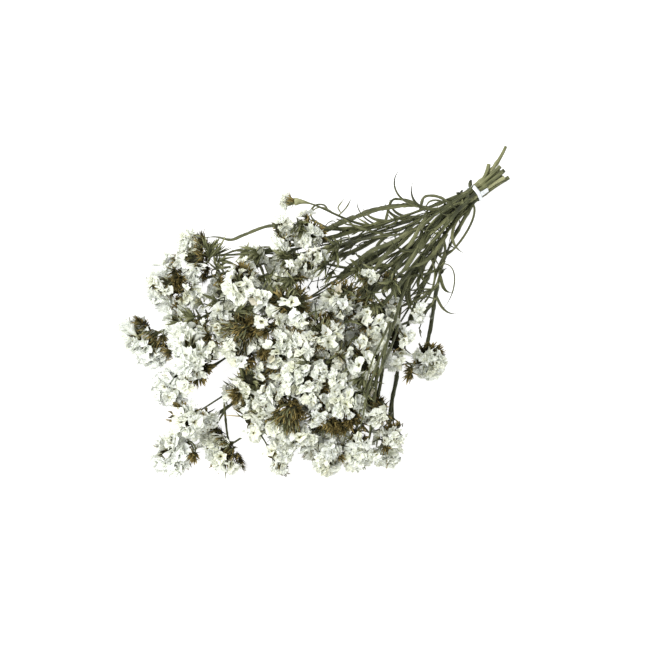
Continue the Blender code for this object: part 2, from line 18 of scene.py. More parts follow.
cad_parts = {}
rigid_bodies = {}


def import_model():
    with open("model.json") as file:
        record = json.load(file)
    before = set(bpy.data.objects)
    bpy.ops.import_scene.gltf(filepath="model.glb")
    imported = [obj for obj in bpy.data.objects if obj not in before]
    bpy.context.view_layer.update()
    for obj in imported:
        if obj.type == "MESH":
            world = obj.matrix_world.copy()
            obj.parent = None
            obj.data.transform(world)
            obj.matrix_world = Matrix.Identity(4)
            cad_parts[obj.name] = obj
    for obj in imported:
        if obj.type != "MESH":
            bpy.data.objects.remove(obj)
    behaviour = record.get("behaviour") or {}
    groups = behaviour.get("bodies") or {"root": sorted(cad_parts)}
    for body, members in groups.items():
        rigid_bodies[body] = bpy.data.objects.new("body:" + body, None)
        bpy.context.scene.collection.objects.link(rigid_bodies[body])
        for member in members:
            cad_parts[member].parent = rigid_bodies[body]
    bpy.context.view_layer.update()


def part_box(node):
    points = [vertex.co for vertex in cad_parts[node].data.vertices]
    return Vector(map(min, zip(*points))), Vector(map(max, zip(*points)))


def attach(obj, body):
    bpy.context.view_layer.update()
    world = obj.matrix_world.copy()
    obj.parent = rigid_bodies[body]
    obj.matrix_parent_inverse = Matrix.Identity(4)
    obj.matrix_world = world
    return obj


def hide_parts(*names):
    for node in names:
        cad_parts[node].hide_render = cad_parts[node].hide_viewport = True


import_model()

MM = 0.001
GAP = 0.3 * MM

# Stems
STEM_RADIUS = 2.0 * MM
STEM_TIP_RADIUS = 1.3 * MM
STEM_WING = 3.0 * MM
STEM_TIP_WING = 1.9 * MM
WING_START = 45 * MM
BRANCH_RADIUS = 1.4 * MM
BRANCH_TIP_RADIUS = 1.1 * MM
BRANCH_WING = 1.7 * MM
SLACK = 1.1 * MM
STEM_PITCH = 4.4 * MM
BEAD_STEP = 5 * MM
BEND_SPARE = 1.08
FORK_SHARE = 0.58
CUT_SPREAD = 0.15
CUT_RISE = 0.25
AXIS_PULL = np.array((-2.0, 0, 0.15))
MAIN_LEAVE = 0.33
MAIN_ARRIVE = 0.2
MAIN_ARRIVE_MOST = 45 * MM
BRANCH_LEAVE = 0.3
BRANCH_TURN = 0.5
BRANCH_ARRIVE = 0.25
BRANCH_ARRIVE_MOST = 30 * MM

# The band, and the stems' cells inside it, row by row from the table up
BAND_WIDTH = 5 * MM
BAND_THICKNESS = 0.9 * MM
TIED_HALF_LENGTH = 8 * MM
BUNDLE_ROWS = (3, 4, 3, 2)
ROW_RISE = STEM_PITCH * cos(pi / 6)
LOWEST_CELL = BAND_THICKNESS + GAP + STEM_RADIUS
BAND_HEIGHT = LOWEST_CELL + 1.5 * ROW_RISE

# Leaf blades
LEAVES_PER_SPRAY = 3
LEAF_HALF_WIDTH = 1.3 * MM
LEAF_CLEAR = LEAF_HALF_WIDTH + MM
LEAF_TRIES = 60
LEAF_BEADS = (4, 26)
LEAF_LENGTHS = (38 * MM, 75 * MM)
LEAF_STEPS = 7
LEAF_FIRST_BEND = 0.45
LEAF_TURNS = (0.9, 2.6)
LEAF_WAVE = 0.15

# Bracts
BRACT_REACH = 0.88
BRACT_INNER_REACH = 0.7
BRACT_VALLEY = 0.5
BRACT_SEAT = 0.4
BRACT_TOOTH = 7.5 * MM

# Florets
FLORET_SIZE = 14.5 * MM
REACH_SHARE = 1.2
BACK_SHARE = 0.6
SINK_SHARE = 0.2
STEM_SINK = 0.6
CORE_SHARE = 0.33
CORE_SETBACK = 0.28
WRAP = radians(88)
POLE_WRAP = radians(66)
LEAST_HEIGHT = 0.88
MOST_HEIGHT = 1.04
RIM_SHARE = 0.9
RAY_JITTER = 0.32
CUP_DEPTH = 0.27
CUP_WAVE = 0.07
PRESSED = 1.5 * MM

# Settling
HEAD_SLACK = 1.6 * MM
HEAD_GIVE = 0.3
NEAR_MARGIN = 12 * MM
STUB_BEADS = 5
HOME_PULL = 0.01
SIGHT_PULL = 0.02

# The picture plane: the bunch's axis lies this far below its horizontal, and it
# looks down on the table at this elevation.
PICTURE_BEARING = radians(39)
PICTURE_ELEVATION = radians(70)

# One row for each stem: its row and place in the bundle, how far its cut end
# stands out of the band and how far that end leans aside. Then its heads, the
# leading one first. A head's numbers are its centre right of the band, down from
# it and up from the table as the picture shows them, all in millimetres, the way
# that it faces in the picture and its tilt up from the table, in degrees, and its
# length and width. A head that is 0 up presses its lowest petals on the table.
SPRAYS = (
    (2, 2, 30, 9, (
        (-287, 69, 45, 183, -10, 58, 36),
        (-190, 13, 60, 190, 5, 18, 17),
        (-199, 43, 54, 215, 40, 27, 28),
        (-174, 48, 64, 240, 45, 34, 32),
    )),
    (0, 2, 30, 2, (
        (-312, 94, 0, 183, -5, 66, 42),
        (-258, 103, 30, 200, 45, 28, 34),
        (-236, 98, 70, 240, 45, 34, 40),
        (-198, 82, 44, 240, 50, 30, 34),
    )),
    (1, 3, 58, 12, (
        (-333, 154, 0, 220, -15, 62, 34),
        (-298, 136, 44, 200, 60, 36, 36),
        (-210, 104, 48, 240, 60, 30, 38),
        (-253, 130, 44, 210, 50, 28, 32),
    )),
    (3, 1, 36, 1, (
        (-308, 197, 36, 215, 45, 38, 34),
        (-282, 160, 62, 190, 60, 64, 42),
        (-243, 146, 56, 212, -20, 46, 42),
    )),
    (0, 1, 32, 0, (
        (-300, 260, 0, 235, 40, 42, 42),
        (-290, 232, 42, 240, 45, 44, 32),
        (-238, 212, 44, 222, 45, 30, 30),
        (-206, 200, 30, 225, 50, 32, 34),
    )),
    (2, 1, 38, -1, (
        (-260, 262, 0, 216, -10, 64, 36),
        (-223, 187, 60, 225, 60, 32, 33),
        (-205, 166, 32, 225, 50, 36, 40),
    )),
    (3, 0, 34, 0, (
        (-198, 264, 18, 200, 30, 36, 20),
        (-224, 224, 40, 230, 40, 42, 38),
        (-190, 224, 68, 245, -15, 44, 42),
        (-176, 184, 74, 230, 70, 44, 44),
    )),
    (0, 0, 36, -2, (
        (-156, 266, 0, 262, 20, 42, 36),
        (-192, 246, 36, 255, 15, 36, 30),
        (-145, 228, 60, 262, -15, 40, 34),
        (-150, 190, 50, 240, 60, 40, 42),
    )),
    (1, 2, 36, 1, (
        (-124, 264, 24, 278, 25, 36, 36),
        (-138, 212, 62, 260, 60, 40, 40),
        (-104, 222, 30, 262, 10, 26, 30),
        (-118, 176, 66, 270, 55, 34, 36),
    )),
    (1, 1, 34, 0, (
        (-91, 264, 0, 275, 20, 28, 28),
        (-84, 245, 34, 285, 25, 28, 22),
        (-82, 155, 40, 290, 45, 30, 30),
    )),
    (1, 0, 38, -1, (
        (-55, 172, 0, 272, 20, 38, 36),
        (-92, 130, 44, 290, 45, 26, 26),
        (-110, 153, 60, 270, 55, 32, 36),
        (-92, 94, 46, 262, 45, 17, 17),
    )),
    (2, 0, 33, -2, (
        (-194, 160, 76, 225, 75, 40, 46),
        (-190, 128, 86, 215, 70, 44, 44),
        (-164, 150, 84, 250, 70, 42, 44),
        (-139, 114, 74, 240, 60, 36, 38),
        (-138, 146, 60, 260, 55, 32, 34),
        (-170, 78, 74, 240, 50, 28, 26),
    )),
)


def from_picture(right, away, up):
    """A vector given by the picture's right, the way off across the table, and up."""
    c, s = cos(PICTURE_BEARING), sin(PICTURE_BEARING)
    return np.array((right * c + away * s, away * c - right * s, up))


SIGHT = from_picture(0, -cos(PICTURE_ELEVATION), sin(PICTURE_ELEVATION))


def unit(vector):
    return vector / np.linalg.norm(vector)


def bezier(a, b, c, d, count):
    t = np.linspace(0, 1, count)[:, None]
    return (1 - t) ** 3 * a + 3 * (1 - t) ** 2 * t * b + 3 * (1 - t) * t**2 * c + t**3 * d


class Head:
    """Where one flower head is, which way it faces, and its half sizes."""

    def __init__(self, name, right, down, up, facing, tilt, length, width):
        a, t = radians(facing), radians(tilt)
        self.name = name
        self.rests = up == 0
        self.face = cos(t) * from_picture(cos(a), sin(a), 0) + np.array((0, 0, sin(t)))
        self.spine = from_picture(-sin(a), cos(a), 0)
        self.side = np.cross(self.face, self.spine)
        self.half_length = length * MM / 2
        self.half_width = width * MM / 2
        self.reach = REACH_SHARE * self.half_width
        self.back = BACK_SHARE * self.half_width
        self.bract_sink = SINK_SHARE * self.reach
        self.centre = np.zeros(3)
        petals = min(corner[2] for corner in floret_corners(self))
        bracts = min(corner[2] for corner in bract_corners(self))
        self.lowest = max(-petals - PRESSED, GAP - bracts)
        height = max(up * MM, self.lowest)
        drop = (height - BAND_HEIGHT) * cos(PICTURE_ELEVATION)
        away = -(down * MM + drop) / sin(PICTURE_ELEVATION)
        self.centre = from_picture(right * MM, away, height)

    def core(self):
        """The centre of the ellipsoids that the florets stand between."""
        return self.centre - CORE_SETBACK * self.reach * self.face

    def root(self):
        """The point inside the bracts where the head's stem ends."""
        return self.core() - (GAP + STEM_SINK * self.back) * self.face

    def seed(self):
        return int(self.name[5:7]) * 10 + int(self.name[8:])

    def beads(self):
        """Offsets of the spheres that stand for the head while the bunch settles."""
        spare = max(self.half_length - self.half_width, 0)
        return [share * spare * self.spine for share in (-1, -0.33, 0.33, 1)]


class Course:
    """The line of a stem or a branch, as beads a few millimetres apart."""

    def __init__(self, spray, points, head, parent=None, fixed=0):
        self.spray = spray
        self.points = points
        self.head = head
        self.parent = parent
        self.fixed = fixed

    def clearances(self):
        """Radius to keep clear round each bead: wings and a crossing stem's slack."""
        if self.parent:
            return np.full(len(self.points), BRANCH_WING + SLACK)
        beyond = np.clip(-self.points[:, 0] / WING_START, 0, 1)
        return STEM_PITCH / 2 + beyond * (STEM_WING + SLACK - STEM_PITCH / 2)


def cell(row, place):
    """A stem's place across the band and up from the table."""
    across = (place - (BUNDLE_ROWS[row] - 1) / 2) * STEM_PITCH
    return across, LOWEST_CELL + row * ROW_RISE


def bead_count(start, end):
    return max(STUB_BEADS, round(BEND_SPARE * np.linalg.norm(end - start) / BEAD_STEP))


def main_course(spray, row, place, cut, lean, head):
    """A stem's line from its cut end through the band to its leading head."""
    across, up = cell(row, place)
    straight = np.arange(cut * MM, -TIED_HALF_LENGTH, -BEAD_STEP)
    splay = (np.clip(straight - TIED_HALF_LENGTH, 0, None) / (cut * MM - TIED_HALF_LENGTH)) ** 2
    tied = np.column_stack((
        straight,
        across * (1 + CUT_SPREAD * splay) + lean * MM * splay,
        up + (up - LOWEST_CELL) * CUT_RISE * splay,
    ))
    start, end = tied[-1], head.root()
    far = np.linalg.norm(end - start)
    leave = start + MAIN_LEAVE * far * unit(unit(end - start) + AXIS_PULL)
    arrive = end - min(MAIN_ARRIVE * far, MAIN_ARRIVE_MOST) * head.face
    free = bezier(start, leave, arrive, end, bead_count(start, end))[1:]
    return Course(spray, np.concatenate((tied, free)), head, fixed=len(tied))


def branch_course(main, head):
    """A side branch's line, from the fork on its stem to its own head."""
    reach = np.linalg.norm(head.centre[:2])
    beyond = np.linalg.norm(main.points[:, :2], axis=1)
    beyond[: main.fixed] = 0
    fork = int(np.argmin(abs(beyond - FORK_SHARE * reach)))
    start, end = main.points[fork], head.root()
    onward = unit(main.points[fork + 2] - start)
    far = np.linalg.norm(end - start)
    leave = start + BRANCH_LEAVE * far * unit(onward + BRANCH_TURN * unit(end - start))
    arrive = end - min(BRANCH_ARRIVE * far, BRANCH_ARRIVE_MOST) * head.face
    points = bezier(start, leave, arrive, end, bead_count(start, end))
    return Course(main.spray, points, head, parent=(main, fork))


def lay_out():
    """All heads, and the courses of all stems and branches, before they settle."""
    heads, courses = [], []
    for spray, (row, place, cut, lean, rows) in enumerate(SPRAYS):
        own = [Head(f"head_{spray + 1:02d}_{n + 1}", *numbers) for n, numbers in enumerate(rows)]
        main = main_course(spray, row, place, cut, lean, own[0])
        heads += own
        courses.append(main)
        courses += [branch_course(main, head) for head in own[1:]]
    return heads, courses


def settle(heads, courses, steps=500, refresh=10):
    """Bends the courses and shifts the heads until nothing touches.

    Touching beads push each other apart. A course keeps its own curve and bends
    smoothly, a head gives way mostly along the line of sight, and both stay
    above the table.
    """
    first = np.cumsum([0] + [len(c.points) for c in courses])
    homes = np.concatenate([c.points for c in courses])
    bead_total = len(homes)
    offsets = np.array([offset for h in heads for offset in h.beads()])
    owner = np.repeat(np.arange(len(heads)), 4)
    head_homes = np.array([h.centre for h in heads])
    head_floor = np.array([h.lowest for h in heads])
    resting = np.array([h.rests for h in heads])
    clear = np.concatenate(
        [c.clearances() for c in courses] + [np.full(4, h.half_width + HEAD_SLACK) for h in heads]
    )
    give = np.concatenate((np.ones(bead_total), np.full(len(owner), HEAD_GIVE)))
    spray_of = np.concatenate(
        [np.full(len(c.points), c.spray) for c in courses] + [np.full(len(owner), -1)]
    )
    head_of = np.concatenate((np.full(bead_total, -1), owner))
    exempt = spray_of[:, None] == spray_of[None, :]
    exempt[bead_total:, bead_total:] = owner[:, None] == owner[None, :]
    roots, parents, tips, tip_heads, inner = [], [], [], [], []
    for number, course in enumerate(courses):
        low, high = first[number], first[number + 1]
        which = heads.index(course.head)
        give[low : low + course.fixed] = 0
        own = np.nonzero(head_of == which)[0]
        stub = np.arange(high - STUB_BEADS, high)
        exempt[np.ix_(stub, own)] = True
        exempt[np.ix_(own, stub)] = True
        tips += [high - 2, high - 1]
        tip_heads += [which, which]
        inner += list(range(low + max(course.fixed, 1), high - 2))
        if course.parent:
            main, fork = course.parent
            roots.append(low)
            parents.append(first[courses.index(main)] + fork)
    inner = np.array(inner)
    shift = np.zeros((bead_total, 3))
    head_shift = np.zeros((len(heads), 3))
    across_sight = np.eye(3) - np.outer(SIGHT, SIGHT)
    for step in range(steps):
        beads = np.concatenate((homes + shift, (head_homes + head_shift)[owner] + offsets))
        if step % refresh == 0:
            square = (beads**2).sum(1)
            apart = square[:, None] + square[None, :] - 2 * beads @ beads.T
            near = apart < (clear[:, None] + clear[None, :] + NEAR_MARGIN) ** 2
            one, two = np.nonzero(np.triu(near & ~exempt, 1))
        between = beads[two] - beads[one]
        distance = np.linalg.norm(between, axis=1)
        lack = np.clip(clear[one] + clear[two] - distance, 0, None)
        push = between / distance[:, None] * lack[:, None]
        total = np.maximum(give[one] + give[two], 1e-9)
        move = np.zeros_like(beads)
        hits = np.zeros(len(beads))
        np.add.at(move, one, -push * (give[one] / total)[:, None])
        np.add.at(move, two, push * (give[two] / total)[:, None])
        np.add.at(hits, one, lack > 0)
        np.add.at(hits, two, lack > 0)
        move /= np.maximum(hits, 1)[:, None]
        shift += move[:bead_total]
        for axis in range(3):
            pushed = np.bincount(owner, move[bead_total:, axis], len(heads))
            touched = np.bincount(owner, hits[bead_total:] > 0, len(heads))
            head_shift[:, axis] += pushed / np.maximum(touched, 1)
        head_shift -= HOME_PULL * head_shift + SIGHT_PULL * head_shift @ across_sight
        head_shift[:, 2] = np.maximum(head_shift[:, 2], head_floor - head_homes[:, 2])
        head_shift[resting, 2] = 0
        shift[:, 2] = np.maximum(shift[:, 2], clear[:bead_total] * 0.8 - homes[:, 2])
        for _ in range(2):
            shift[tips] = head_shift[tip_heads]
            shift[roots] = shift[parents]
            middle = (shift[inner - 1] + shift[inner + 1]) / 2
            shift[inner] += 0.5 * (middle - shift[inner])
        for number, course in enumerate(courses):
            shift[first[number] : first[number] + course.fixed] = 0
    for number, course in enumerate(courses):
        course.points = (homes + shift)[first[number] : first[number + 1]]
    for head, moved in zip(heads, head_shift):
        head.centre = head.centre + moved


def clear_of(points, radius, beads, clear):
    """Whether a line of points keeps off all the beads, and off the table."""
    closer = np.concatenate((points, (points[:-1] + points[1:]) / 2))
    apart = np.linalg.norm(closer[:, None] - beads[None], axis=2)
    return (apart > radius + clear[None]).all() and points[:, 2].min() > 1.5 * radius


def grow_leaves(heads, courses):
    """Curled blades on the stems, each where a seeded draw finds it room."""
    leaves = []
    head_beads = np.array([head.centre + offset for head in heads for offset in head.beads()])
    head_clear = np.repeat([head.half_width + 2 * MM for head in heads], 4)
    for main in [c for c in courses if not c.parent]:
        draw = random.Random(main.spray)
        others = [c for c in courses if c.spray != main.spray]
        blades = [leaf for _, leaf in leaves]
        beads = np.concatenate([c.points for c in others] + [head_beads] + blades)
        clear = np.concatenate(
            [c.clearances() for c in others] + [head_clear] + [np.full(len(b), LEAF_CLEAR) for b in blades]
        )
        grown = 0
        for _ in range(LEAF_TRIES):
            at = main.fixed + draw.randrange(*LEAF_BEADS)
            length = draw.uniform(*LEAF_LENGTHS)
            leaf = curl(main.points[at], main.points[at + 1] - main.points[at], length, draw)
            if grown < LEAVES_PER_SPRAY and clear_of(leaf[1:], LEAF_HALF_WIDTH + 0.6 * MM, beads, clear):
                leaves.append((main.spray, leaf))
                grown += 1
                beads = np.concatenate((beads, leaf))
                clear = np.concatenate((clear, np.full(len(leaf), LEAF_CLEAR)))
    return leaves


def curl(start, along, length, draw):
    """A leaf blade's line: it leaves its stem and curls over more and more."""
    heading = unit(along)
    aside = unit(np.cross(heading, [draw.uniform(-1, 1) for _ in range(3)]))
    axis = np.cross(heading, aside)
    turn = draw.uniform(*LEAF_TURNS)
    points = [start]
    for n in range(LEAF_STEPS):
        share = n / LEAF_STEPS
        angle = LEAF_FIRST_BEND + turn * share**1.5
        step = cos(angle) * heading + sin(angle) * aside + LEAF_WAVE * sin(3 * share) * axis
        points.append(points[-1] + unit(step) * length / LEAF_STEPS)
    return np.array(points)


def bract_ring(head):
    """The bracts' outer ring behind a head, seen from the core: tips and valleys in turn."""
    draw = random.Random(head.name)
    teeth = max(5, round(1.6 * (head.half_length + head.half_width) / BRACT_TOOTH))
    ring = []
    for n in range(2 * teeth):
        turn = pi * n / teeth
        reach = BRACT_VALLEY if n % 2 else draw.uniform(BRACT_INNER_REACH, BRACT_REACH)
        over = cos(turn) * head.half_length * head.spine + sin(turn) * head.half_width * head.side
        ring.append(reach * over - (GAP + head.bract_sink) * head.face)
    return ring


class Florets:
    """A head's florets: cells of a slim core, and how high each stands at its corners.

    A cell is drawn out along rays that spread from the core, so that no floret
    can meet its neighbour.
    """

    def __init__(self, head):
        draw = random.Random(head.name)
        self.outer = np.array((head.half_length, head.half_width, head.reach))
        self.inner = CORE_SHARE * self.outer
        self.axes = np.array((head.spine, head.side, head.face))
        self.across = max(2, round(1.6 * WRAP * head.half_width / FLORET_SIZE))
        self.along = max(1, round(1.9 * POLE_WRAP * head.half_length / FLORET_SIZE))
        row = self.across + 1
        self.rays = []
        for i in range(self.along + 1):
            for j in range(row):
                theta = POLE_WRAP * (2 * i / self.along - 1)
                phi = WRAP * (2 * j / self.across - 1)
                if 0 < j < self.across:
                    theta += draw.uniform(-RAY_JITTER, RAY_JITTER) * POLE_WRAP / self.along
                    phi += draw.uniform(-RAY_JITTER, RAY_JITTER) * WRAP / self.across
                self.rays.append(self.ray(theta, phi))
        self.cells = []
        for i in range(self.along):
            for j in range(self.across):
                a = i * row + j
                self.cells.append((a, a + row, a + row + 1, a + 1))
        self.cells.append(tuple(range(row)))
        self.cells.append(tuple(range(self.along * row, self.along * row + row))[::-1])
        self.heights = []
        self.shares = []
        for cell_corners in self.cells:
            height = draw.uniform(LEAST_HEIGHT, MOST_HEIGHT)
            self.heights.append([height + draw.uniform(-CUP_WAVE, CUP_WAVE) for _ in cell_corners])
            self.shares.append(RIM_SHARE * draw.uniform(0.92, 1.04))

    @staticmethod
    def ray(theta, phi):
        """A point of a sphere that is fuller towards its two ends."""
        fuller = (abs(sin(theta)) ** 3 + cos(theta) ** 3) ** (-1 / 3)
        return fuller * np.array((sin(theta), cos(theta) * sin(phi), cos(theta) * cos(phi)))

    def rim(self, number):
        """A cell's rim corners, drawn in a little so that neighbours stay apart."""
        rim = []
        for index, height in zip(self.cells[number], self.heights[number]):
            rim.append(((1 - height) * self.inner + height * self.outer) * self.rays[index])
        middle = sum(rim) / len(rim)
        return middle, [middle + self.shares[number] * (corner - middle) for corner in rim]


def bract_corners(head):
    """The corners of the solid that stands for a head's bracts."""
    corners = [head.core() - (GAP + head.back) * head.face]
    for n in range(4):
        turn = radians(45 + 90 * n)
        over = cos(turn) * head.half_length * head.spine + sin(turn) * head.half_width * head.side
        corners.append(head.core() + BRACT_SEAT * over - GAP * head.face)
    return corners + [head.core() + point for point in bract_ring(head)]


def floret_corners(head):
    """The corners of the solid that stands for a head's florets."""
    florets = Florets(head)
    core = head.core()
    corners = [core + (florets.inner * ray) @ florets.axes for ray in florets.rays]
    for number in range(len(florets.cells)):
        middle, rim = florets.rim(number)
        corners += [core + corner @ florets.axes for corner in rim]
        corners.append(core + (1 - CUP_DEPTH) * middle @ florets.axes)
    return corners


def frames(points, twist):
    """Two vectors across the line at each point, carried along it without a jump."""
    tangents = np.gradient(points, axis=0)
    tangents /= np.linalg.norm(tangents, axis=1)[:, None]
    start = np.array((0.3, 0.2, 1.0)) if abs(tangents[0][2]) < 0.9 else np.array((1.0, 0, 0))
    across = unit(start - (start @ tangents[0]) * tangents[0])
    pairs = []
    travelled = 0.0
    for n, tangent in enumerate(tangents):
        across = unit(across - (across @ tangent) * tangent)
        if n:
            travelled += np.linalg.norm(points[n] - points[n - 1])
        angle = twist * travelled
        other = np.cross(tangent, across)
        turned = cos(angle) * across + sin(angle) * other
        pairs.append((turned, np.cross(tangent, turned)))
    return pairs


# The camera, the light and the floor. Places are right, away and up in the picture, in metres.
CAMERA_DISTANCE = 2.5
CAMERA_RANGE = 20
SENSOR_WIDTH = 36
FRAME_WIDTH = 0.65
FRAME_CENTRE = (-0.153, -0.135)
FLOOR_SIZE = 3.0
FLOOR_SHADE = 0.35
FLOOR_GLOW = 0.9
ROOM_COLOUR = (0.99, 1, 0.98, 1)
ROOM_STRENGTH = 0.97
KEY_POWER = 42
KEY_WIDTH = 1.2
KEY_PLACE = (-0.95, -0.35, 1.7)

# Which look a face has: its place among the materials of a spray, or of any other piece
IN_GREEN, IN_BROWN, IN_PITH = 0, 1, 2
IN_ONE = 0

# Seeds of the random draws
SHOOT_SEED = 31
SPRAY_SEED = 500
WAVE_SEED = 900
STEM_SEED = 31

# How the florets change across the picture: right of the band in millimetres, and there
# the calyxes' size, how loose the sprigs stand and how creamy the florets are
SIZE_ACROSS = (-300, -60), (1.06, 0.74)
LOOSE_ACROSS = (-310, -250, -100), (0.3, 0.8, 1.0)
CREAM_ACROSS = (-310, -250), (0.35, 1.0)

# Calyxes. Their folds are shares of their radius.
CALYX_RADIUS = 6.4 * MM
CALYX_RADII = (0.72, 1.24)
CALYX_SIDES = 18
CALYX_ASIDE = 0.3
CALYX_SQUASH = (0.45, 1.0)
CALYX_CRUMPLE = 0.11
CALYX_RUFFLES = (5, 8)
CALYX_THROAT = (0.1, 0.75)

# Sprigs: small sprays of calyxes on a head, and the clefts that missing ones leave
POLE_ROW = radians(77)
SPRIG_SPACING = 16.5 * MM
SPRIG_MISSING = 0.34
SPRIG_CALYXES = 4
SPRIG_REACH = 9.0 * MM
SPRIG_JITTER = 0.2
SPRIG_STANDS = (-0.34, 0.1)
SPRIG_FOOT = 0.8
SPRIG_MOST = 1.06
CLEFT_TOP = 0.6
TIP_SETBACK = 1.8
ROOT_SCATTER = 1.1

# Heads: the width under which one is small, or a bud when it is seen from its side
SMALL_HEAD = 12 * MM
BUD_HEAD = 10 * MM
SIDE_ON = 0.5
BUD_CALYXES = 9
RECEPTACLE = (0.38, 0.38, 0.36)
RECEPTACLE_BACK = 0.6
RECEPTACLE_GRID = (9, 14)

# A bud's green and brown bracts: look, number, least and most length in millimetres,
# and how far they open
BUD_BRACTS = ((IN_GREEN, 14, 8, 11, 0.3), (IN_BROWN, 22, 9, 13, 0.42))

# Rows of bract tufts behind a head: where each starts and ends between the head's
# stem and its rim, and where its tufts are counted
BRACT_ROWS = ((0.0, 0.34, 0.34), (0.1, 0.6, 0.6), (0.34, 0.86, 0.85), (0.58, 1.03, 1.0))
BRACT_SPACING = 5.6 * MM
LEAST_TUFTS = 5
TUFT = 5

# How often the bracts in a cleft are green, by millimetres down from the band
GREEN_DOWN = (60, 190), (0.85, 0.45)

# Fans of bracts over the florets of a head that shows its back or side. How far they
# reach goes by how squarely the head faces the camera.
FAN_REACH = (0.1, 0.35, 0.75), (0.36, 0.1, -0.5)
NO_FAN = -1.0
COMB_FAN = -0.3
COMB_LENGTH = 26 * MM
FAN_FOOT = -0.45
FAN_STEP = 0.13
FAN_WIDTHS = (0.26, 0.38)
FAN_SPACING = 1.1 * MM
FAN_BLADES = (5, 11)
FAN_OLIVE = 0.28
FAN_NARROWS = 0.72

# Stems: their smooth lines' step, waves, joints, cut ends and what hangs on them
FINE_STEP = 2.6 * MM
WAVES = 4
WAVE_LENGTHS = (48, 110)
WAVE_SWINGS = (1.0, 2.2)
WAVES_START = 50 * MM
WAVES_STOP = 24 * MM
LOWEST_WAVE = 2.2 * MM
JOINTS = 12
JOINT_GAPS = (16, 46)
JOINT_LENGTH = 2.6 * MM
JOINT_SWELLING = 0.32
STEM_SECTION = np.array(((1, 0.0), (0.55, 0.3), (0.78, 0.62), (0.4, 1.0), (0.0, 0.78)))
GRAIN_SHIFT = np.array((0.3, 0.7, 2.0))
CUT_PALENESS = 0.8
KNOB_TONE = 0.7
BOWS = 2
SCRAPS = 10
TENDRIL_STEPS = 26
TENDRIL_LENGTHS = (14, 30)

# The wound film: its turns, the corners of its ring and those of a loose end
BAND_TURNS = 3
RING_STEPS = 24
TAIL_GRID = (9, 5)
FILM_THICKNESS = 0.25 * MM

# Shoots: how near they may come to heads and to each other, and on a branch and on a main
# stem their number, first bead, beads along it and millimetres off it
OPEN_ROOM = 11 * MM
SHOOT_ROOM = 5 * MM
SHOOT_TRIES = 10
CROWDED = 46 * MM
SHOOT_CALYX_RADII = (3.6, 6.0)
BRANCH_SHOOTS = (3, (3, 7), (8, 24))
STEM_SHOOTS = (2, (14, 40), (6, 20))
STEM_SHOOT_START = 22

# What ends the shoots that fill open spots, and how often: beside heads that show their
# bracts, among florets, and at the picture's right, which starts here
FILLERS = ("florets", "bracts", "leaves")
ODDS_BY_BRACTS = (0.35, 0.45, 0.2)
ODDS_BY_FLORETS = (0.66, 0.23, 0.11)
ODDS_AT_RIGHT = (0.42, 0.22, 0.36)
FILL_RIGHT = -150
FILL_TOP = 85
FILL_STEP = 6.0
FILL_ACROSS = (-330, -56)
FILL_DOWN = (40, 280)
FILL_SPACING = 8

# The film's loose ends: bearing round the stems, start and length along them, width
# and how far the end lifts, in degrees and millimetres
TAILS = ((147, -1.5, 12.5, 6.5, 0.6), (35, -1.5, -8, 1.8, 1.6))

# The blades at a shoot's end: their number, spread, least and most length in
# millimetres, and whether they are leaves (0) or bracts (1)
SHOOT_ENDS = {
    "florets": (15, 0.95, 6, 11.5, 1),
    "bracts": (34, 0.7, 7, 12, 1),
    "leaves": (7, 0.6, 8, 17, 0),
    "bare": (3, 0.45, 5, 11, 0),
    "fingers": (15, 0.48, 9, 20, 0),
    "brush": (38, 0.5, 7, 13, 1),
}

# A calyx, up its outside from the root to the rim and down its inside: share of
# its length, share of its rim's radius, how much its folds move that ring, and
# how far that ring is from the brown of its root to the white of its rim.
CALYX_RINGS = np.array((
    (0.0, 0.1, 0.0, 0.0),
    (0.42, 0.24, 0.12, 0.35),
    (0.76, 0.62, 0.5, 0.72),
    (1.0, 1.1, 1.0, 1.0),
    (1.0, 1.1, 1.0, 1.0),
    (0.87, 0.66, 0.85, 0.92),
    (0.66, 0.16, 0.4, 0.3),
))
CALYX_EDGE = 3

# A pointed blade, from its base to its tip: share of its length and of its width
BLADE_STATIONS = np.array(((0.0, 0.5), (0.28, 0.95), (0.6, 0.8), (0.85, 0.36), (1.0, 0.02)))
BLADE_SWAY = 0.06
BLADE_KEEL = 0.55

# Strands that gain more millimetres than this lie over the florets, and those that
# reach this high are darker
OVER_HEADS = 45
HIGH_STRAND = 75 * MM

# Cut ends longer than this thin out beyond a knob: places along the stem, and sizes there
LONG_CUT = 45 * MM
KNOB = (np.array((22, 28, 33, 55)) * MM, (1.0, 1.75, 0.95, 0.75))

# The dark leaf base at the band: right of the band and down from it in the picture
STUB = ((-1, 1), (-4, -3), (-7, -7), (-4, -13))

